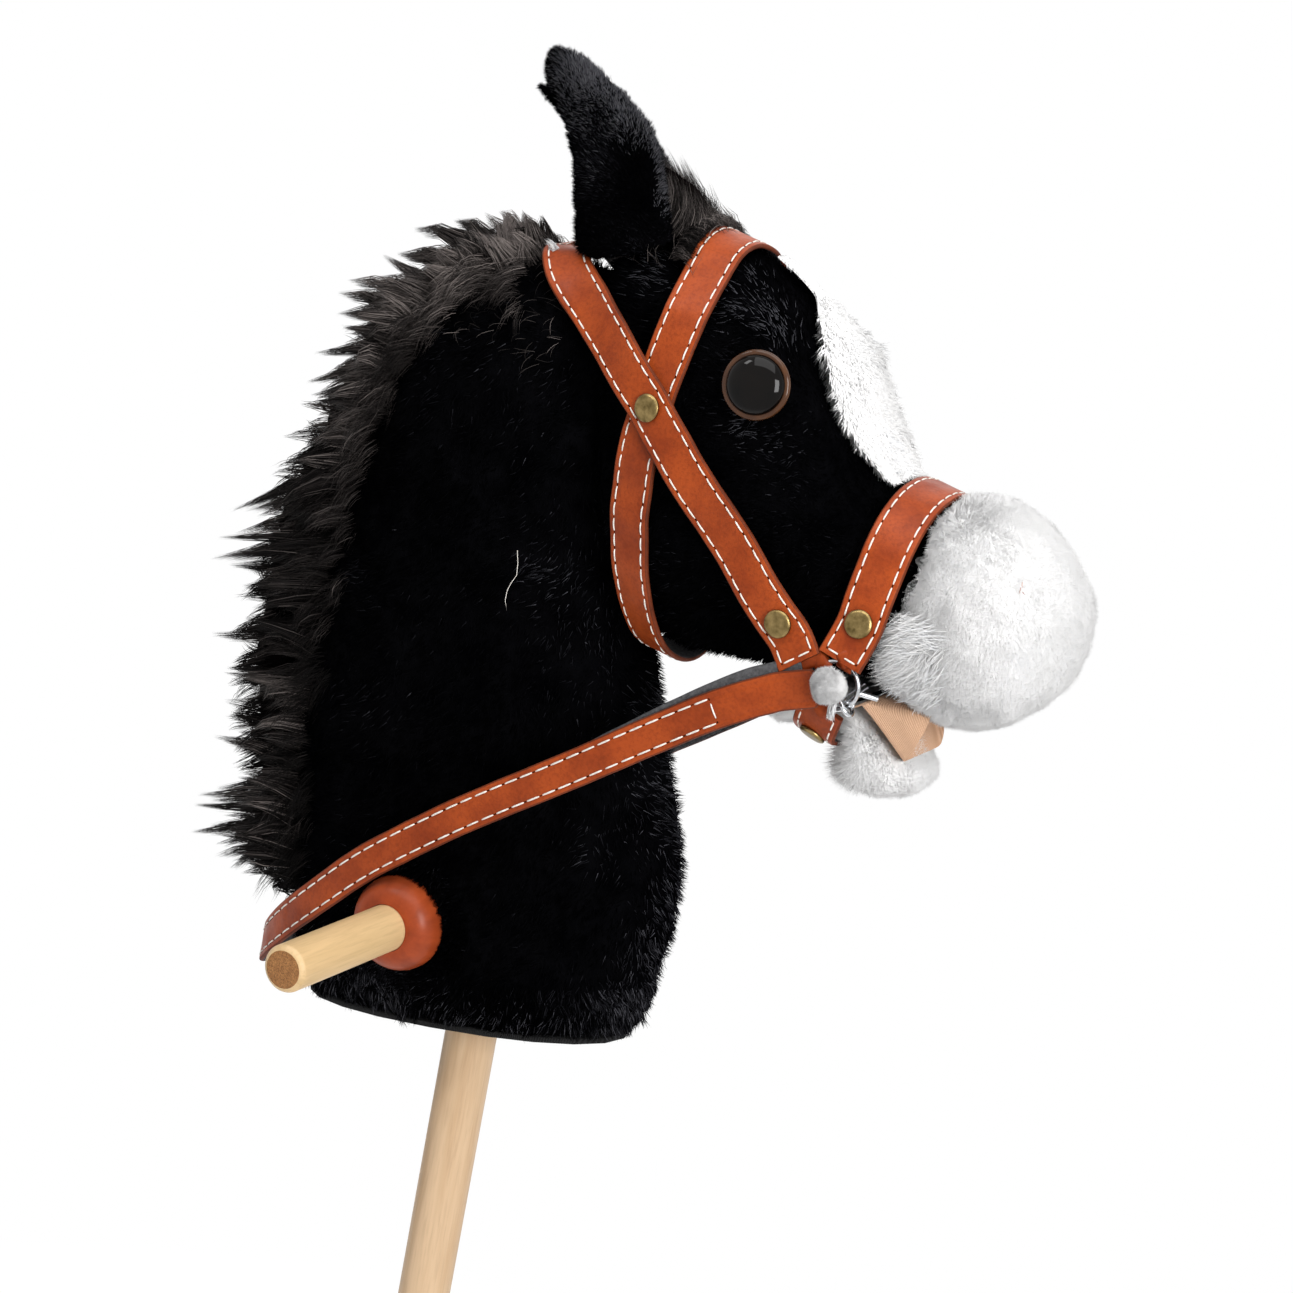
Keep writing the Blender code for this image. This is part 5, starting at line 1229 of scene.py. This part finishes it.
def torus(name, centre, axis, radius, wire, steps=64):
    turns = [math.tau * k / 12 for k in range(12)]
    profile = [(radius + wire / 2 * math.cos(t), wire / 2 * math.sin(t)) for t in turns]
    return turned(name, profile, centre, axis, [CHROME], steps, closed=True)


def rod(name, foot, end, radius, corner, material, sides):
    length = (end - foot).length
    profile = rounded([(0, 0), (radius, 0), (radius, length), (0, length)], corner)
    return turned(name, profile, foot, end - foot, [material], sides)


def dowel(name, place, axis, low, high, radius, bevel, corner, *looks):
    """A dowel with bevelled ends; the second look is for its sawn ends."""
    flat = radius - bevel
    profile = rounded([(0, low), (flat, low), (radius, low + bevel), (radius, high - bevel), (flat, high),
                       (0, high)], corner)
    sawn = [int(r0 <= flat - 0.0003 and r1 <= flat + 0.0002) for (r0, _), (r1, _) in zip(profile, profile[1:])]
    return turned(name, profile, place, axis, looks, slots=sawn)


placed(dowel("stick_dowel", (0, 0, 0), UP, -0.610, 0.180, 0.0125, 0.0015, 0.0008, STICK_WOOD, STICK_END),
       "stick_wood", "stick")
placed(dowel("handle_dowel", (HANDLE_X, 0, 0), LEFTWARD, -0.140, 0.140, 0.0110, 0.0020, 0.0010, HANDLE_WOOD,
             HANDLE_END), "handle_wood", "handle_bar")


def dome(middle, wide, low, high, steps):
    """A quarter of an oval, as (radius, distance) points from its rim to its top."""
    turns = [math.pi / 2 * k / steps for k in range(1, steps + 1)]
    return [(middle + wide * math.cos(turn), low + high * math.sin(turn)) for turn in turns]


COLLAR_SHAPE = [(0.0113, 0.0), (0.0225, 0.0), (0.0225, 0.0015)] + dome(0.0113, 0.0112, 0.0015, 0.0125, 12)
for side_name, side in SIDES:
    placed(turned(f"collar_{side_name}", COLLAR_SHAPE, (HANDLE_X, side * 0.0435, 0), (0, side, 0), [COLLAR],
                  closed=True), "collar_gloss", f"handle_collar_{side_name}")

# Eyes: a brown rim, a black pupil and clear gloss
EYE_BROWN = lacquer("eye_brown", (0.034, 0.012, 0.0045), (0.072, 0.027, 0.009), 0.16, 0.35)
EYE_BLACK, eye_tree = tree_of("eye_black", 0.05, (0.003, 0.002, 0.002), Specular_IOR_Level=0.15)
linked(EYE_BLACK, Base_Color=ramp(eye_tree, noise(eye_tree, coordinates(eye_tree), 90, 3),
                                  (0.3, (0.0006, 0.0004, 0.0003)), (0.7, (0.003, 0.0018, 0.0012))))
EYE_RIM = [(0, -0.014), (0.0020, -0.014), (0.0025, -0.0135), (0.0025, 0.0), (0.0142, 0.0), (0.0150, 0.0006),
           (0.0151, 0.0014), (0.0148, 0.0022), (0.0142, 0.0027), (0.0134, 0.0028), (0.0129, 0.0026)]
EYE_DOME = dome(0, 0.0127, 0.0026, 0.0049, 16)[:-1] + [(0, 0.0075)]
for side_name, side in SIDES:
    axis = Vector((math.sin(math.radians(10)), side * math.cos(math.radians(10)), math.tan(math.radians(8))))
    placed(turned(f"eyeball_{side_name}", EYE_RIM + EYE_DOME, EYE_PLACE * Vector((1, side, 1)), axis,
                  [EYE_BROWN, EYE_BLACK], slots=[0] * 10 + [1] * 16), "eye_gloss", f"eye_{side_name}")
    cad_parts[f"eye_lock_{side_name}"].data.materials[0] = NYLON

# Rivets: shallow domed caps with a rolled edge
for place, (side_name, _) in itertools.product(("crossing", "cheek", "nose", "chin"), SIDES):
    cad = f"rivet_{place}_{side_name}"
    points = corners_of(cad)
    middle = points.mean(0)
    spread = points - middle
    axes = np.linalg.svd(spread.T @ spread)[0]
    way = axes[:, int(np.argmin(np.ptp(spread @ axes, axis=0)))]
    wide = np.linalg.norm(spread - np.outer(spread @ way, way), axis=1) > 0.0058
    if spread[wide].mean(0) @ way < 0:
        way = -way
    along = spread @ way
    top, low, under = along.max(), along.min(), along[wide].min()
    profile = rounded([(0, low), (0.0040, low), (0.0040, low + 0.0008), (0.0016, low + 0.0008), (0.0016, under),
                       (0.0058, under), (0.00625, under + 0.0005), (0.00620, top - 0.0007),
                       (0.0052, top - 0.0001), (0.0030, top + 0.00005), (0, top + 0.0001)], 0.0003, 2)
    placed(turned(f"cap_{place}_{side_name}", profile, middle, way, [BRASS], 40), "rivet_brass", cad)

# Bit rings, mouth bar and pompons
bar_radial = Vector((math.cos(BAR_ANGLE), 0, math.sin(BAR_ANGLE)))
bar_end = RING_CENTRE + bar_radial * RING_RADIUS - Vector((0, 0.0035, 0))
placed(rod("mouth_bar", bar_end * Vector((1, -1, 1)), bar_end, 0.0018, 0.0006, CHROME, 24), "chromed_wire",
       "bit_bar")
for side_name, side in SIDES:
    centre = RING_CENTRE * Vector((1, side, 1))
    placed(torus(f"ring_{side_name}", centre, LEFTWARD, RING_RADIUS, RING_WIRE * 0.85),
           "chromed_wire", f"bit_ring_{side_name}", body=f"bit_ring_{side_name}")
    placed(torus(f"eyelet_{side_name}", centre + bar_radial * RING_RADIUS, bar_radial.cross(LEFTWARD), 0.0037,
                 0.0021, 40), "chromed_wire")
    ball = stuffed(f"pompon_ball_{side_name}", f"pompon_{side_name}", WHITE_BACK, voxel=0.0016, inset=0.0022,
                   lumps=0.0008, lump_size=0.006, seed=50 + side, cap=0)
    points = coordinates_of(ball) + np.array((0.0006, 0, 0.0018))
    points[:, 1] = side * np.maximum(points[:, 1] * side, 0.0606)  # flat where it lies on the straps' ends
    moved(ball, points)
    placed(ball, "white_plush", f"pompon_{side_name}", fill=0.6)
    pile(f"pompon_yarn_{side_name}", ball, 20500, 0.0036, 0.00022, YARN, (0.5, 0.25, 0.25), (0, 0, -0.3),
         60 + side, rise=0.8, tuft=12, wander=0.8, smooth=0.9, keep=lambda p: p[:, 1] * side > 0.0608)
    tail = [lock((0.1722, side * 0.0565, 0.1690), (0.1722 + dx, side * 0.0560, 0.1605), 0.0018, 26,
                 (0.0, side * 0.001, 0), hair_rng, 0.3, 0.6) for dx in (-0.001, 0.0015)]
    tuft(f"pompon_tail_{side_name}", np.concatenate(tail), 0.00019, YARN)
    for k, shift in enumerate((0.0, 0.0017)):
        foot, end = (Vector((x + shift, side * y, z - shift * 0.7))
                     for x, y, z in ((0.1740, 0.0525, 0.1712), (0.1820, 0.0500, 0.1800)))
        placed(rod(f"ring_tie_{side_name}_{k}", foot, end, 0.00042, 0.0003, TIE_WIRE, 12), "chromed_wire")
    foot, end = Vector((0.1790, side * 0.0508, 0.1752)), Vector((0.1870, side * 0.0450, 0.1737))
    deep = (end - foot).length
    profile = rounded([(0, 0), (0.0013, 0), (0.0013, deep), (0.0009, deep), (0.0009, deep * 0.6),
                       (0, deep * 0.6)], 0.0003)
    placed(turned(f"bar_sleeve_{side_name}", profile, foot, end - foot, [CHROME], 24), "chromed_wire")

# Cloths: the lining is one sheet, folded into a pocket that is shut at its back and open in front
HINGE, HINGE_HALF, RIM_HALF = np.array((0.1735, 0.1680)), 0.0360, 0.0270
UPPER_RIM, LOWER_RIM = np.array((0.2045, 0.1705)), np.array((0.1950, 0.1432))
ROUND_STEPS, DEEP_STEPS = 96, 18
upper, lower = UPPER_RIM - HINGE, LOWER_RIM - HINGE
upper_turn, lower_turn = math.atan2(upper[1], upper[0]), math.atan2(lower[1], lower[0])
pocket = []
for i, j in itertools.product(range(DEEP_STEPS + 1), range(ROUND_STEPS)):
    deep, turn = i / DEEP_STEPS, math.tau * j / ROUND_STEPS
    left, high = math.cos(turn), math.sin(turn)
    y = math.copysign(abs(left) ** 0.30, left) * (HINGE_HALF + (RIM_HALF - HINGE_HALF) * deep)
    share = 0.5 - 0.5 * math.copysign(abs(high) ** 0.45, high)
    angle = upper_turn + (lower_turn - upper_turn) * share
    far = np.linalg.norm(upper) * (1 - share) + np.linalg.norm(lower) * share
    web = 4 * share * (1 - share)
    far *= deep * (1 - 0.5 * web * min(1, max(0, 2 * left)))  # the left wall is drawn in by a fold
    fold = 0.0012 * math.sin(9 * angle + 5 * deep) * deep * web
    x, z = HINGE + far * np.array((math.cos(angle), math.sin(angle)))
    pocket.append((x, y + math.copysign(0.0016 * web * deep + fold, y), z))
lining = from_arrays("lining_cloth", pocket, quads(DEEP_STEPS + 1, ROUND_STEPS), [LINING])
placed(lining, "peach_cloth", "mouth_lining")

base_cloth = cad_copy("base_cloth", "base_panel", BASE_CLOTH)
points = coordinates_of(base_cloth)
middle = points.mean(0)
moved(base_cloth, middle + (points - middle) * 0.955 + np.array((0, 0, 0.0012)))
base_cloth.data.shade_smooth()
base_cloth.data.set_sharp_from_angle(angle=math.radians(50))
placed(base_cloth, "base_cloth", "base_panel")
for cad in ("handle_bolt", "bolt_washer", "bolt_nut"):
    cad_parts[cad].data.materials[0] = STEEL

# Floor, light and camera
FLOOR_Z = -0.610


def seen_directly(tree):
    """1 for the camera's rays and for mirror and glass rays."""
    path = node(tree, "ShaderNodeLightPath")
    seen = path.outputs["Is Camera Ray"]
    for ray in ("Is Glossy Ray", "Is Transmission Ray"):
        seen = node(tree, "ShaderNodeMath", {"operation": "MAXIMUM"}, i0=seen, i1=path.outputs[ray]).outputs[0]
    return seen


def blended(tree, share, first, second):
    return node(tree, "ShaderNodeMixShader", i0=share, i1=first.outputs[0], i2=second.outputs[0])


WHITE = (1, 1, 1, 1)
world = bpy.data.worlds.new("studio")
bpy.context.scene.world = world
world.use_nodes = True
tree = world.node_tree
tree.nodes.clear()
fill_light = node(tree, "ShaderNodeBackground", Color=WHITE, Strength=0.29)
white = node(tree, "ShaderNodeBackground", Color=WHITE, Strength=1.0)
node(tree, "ShaderNodeOutputWorld", Surface=blended(tree, seen_directly(tree), fill_light, white).outputs[0])

floor_look, tree = tree_of("floor_look", 0.9, (0.86, 0.86, 0.86), Specular_IOR_Level=0.1)
floor_shader = tree.nodes["Principled BSDF"]
glow = node(tree, "ShaderNodeEmission", Color=WHITE, Strength=0.35)
near_floor = node(tree, "ShaderNodeAddShader", i0=floor_shader.outputs[0], i1=glow.outputs[0])
backdrop = node(tree, "ShaderNodeEmission", Color=WHITE, Strength=1.0)
from_foot = node(tree, "ShaderNodeVectorMath", {"operation": "LENGTH"}, i0=coordinates(tree, (1, 1, 0)))
far = ramp(tree, from_foot.outputs["Value"], (0.45, grey(0)), (0.85, grey(1)))
floor_seen = blended(tree, far, near_floor, backdrop)
floor_mix = blended(tree, seen_directly(tree), floor_shader, floor_seen)
tree.links.new(floor_mix.outputs[0], tree.nodes["Material Output"].inputs["Surface"])
from_arrays("floor", [(x, y, FLOOR_Z) for x, y in ((-60, -60), (60, -60), (60, 60), (-60, 60))],
                     [(0, 1, 2, 3)], [floor_look])


def direction(azimuth, elevation):
    """Away from the horse; azimuth 0 is on its right side."""
    a, e = math.radians(azimuth), math.radians(elevation)
    return Vector((math.sin(a) * math.cos(e), -math.cos(a) * math.cos(e), math.sin(e)))


def soft_box(name, azimuth, elevation, distance, width, height, power):
    light = bpy.data.lights.new(name, "AREA")
    light.shape, light.size, light.size_y, light.energy = "RECTANGLE", width, height, power
    lamp = bpy.data.objects.new(name, light)
    bpy.context.scene.collection.objects.link(lamp)
    way = direction(azimuth, elevation)
    lamp.location = Vector((0.06, 0, 0.15)) + way * distance
    lamp.rotation_euler = way.to_track_quat("Z", "Y").to_euler()
    lamp.visible_camera = False


soft_box("key_box", 54, 16, 2.2, 0.8, 1.0, 42)
soft_box("left_box", -42, 46, 2.2, 0.4, 0.5, 7)
soft_box("top_box", 16, 70, 2.2, 2.0, 2.0, 40)
soft_box("back_box", 190, 35, 2.6, 1.8, 1.8, 9)

# The camera as fitted to the photograph: its angles in degrees, and its focal length in pixels
CAMERA_AZIMUTH, CAMERA_ELEVATION, CAMERA_ROLL, CAMERA_DISTANCE = 26, 15, 10.764, 1.5
FOCAL_PIXELS, IMAGE_PIXELS, SENSOR = 3297, 1293, 36
lens = bpy.data.cameras.new("camera")
lens.sensor_width, lens.lens = SENSOR, FOCAL_PIXELS / IMAGE_PIXELS * SENSOR
camera = bpy.data.objects.new("camera", lens)
bpy.context.scene.collection.objects.link(camera)
back = direction(CAMERA_AZIMUTH, CAMERA_ELEVATION)
camera.matrix_world = Matrix.Translation(Vector((0.053257, 0, 0.150878)) + back * CAMERA_DISTANCE)
for angle, axis in ((CAMERA_AZIMUTH, "Z"), (90 - CAMERA_ELEVATION, "X"), (CAMERA_ROLL, "Z")):
    camera.matrix_world = camera.matrix_world @ Matrix.Rotation(math.radians(angle), 4, axis)
bpy.context.scene.camera = camera
bpy.context.scene.view_settings.view_transform = "Standard"
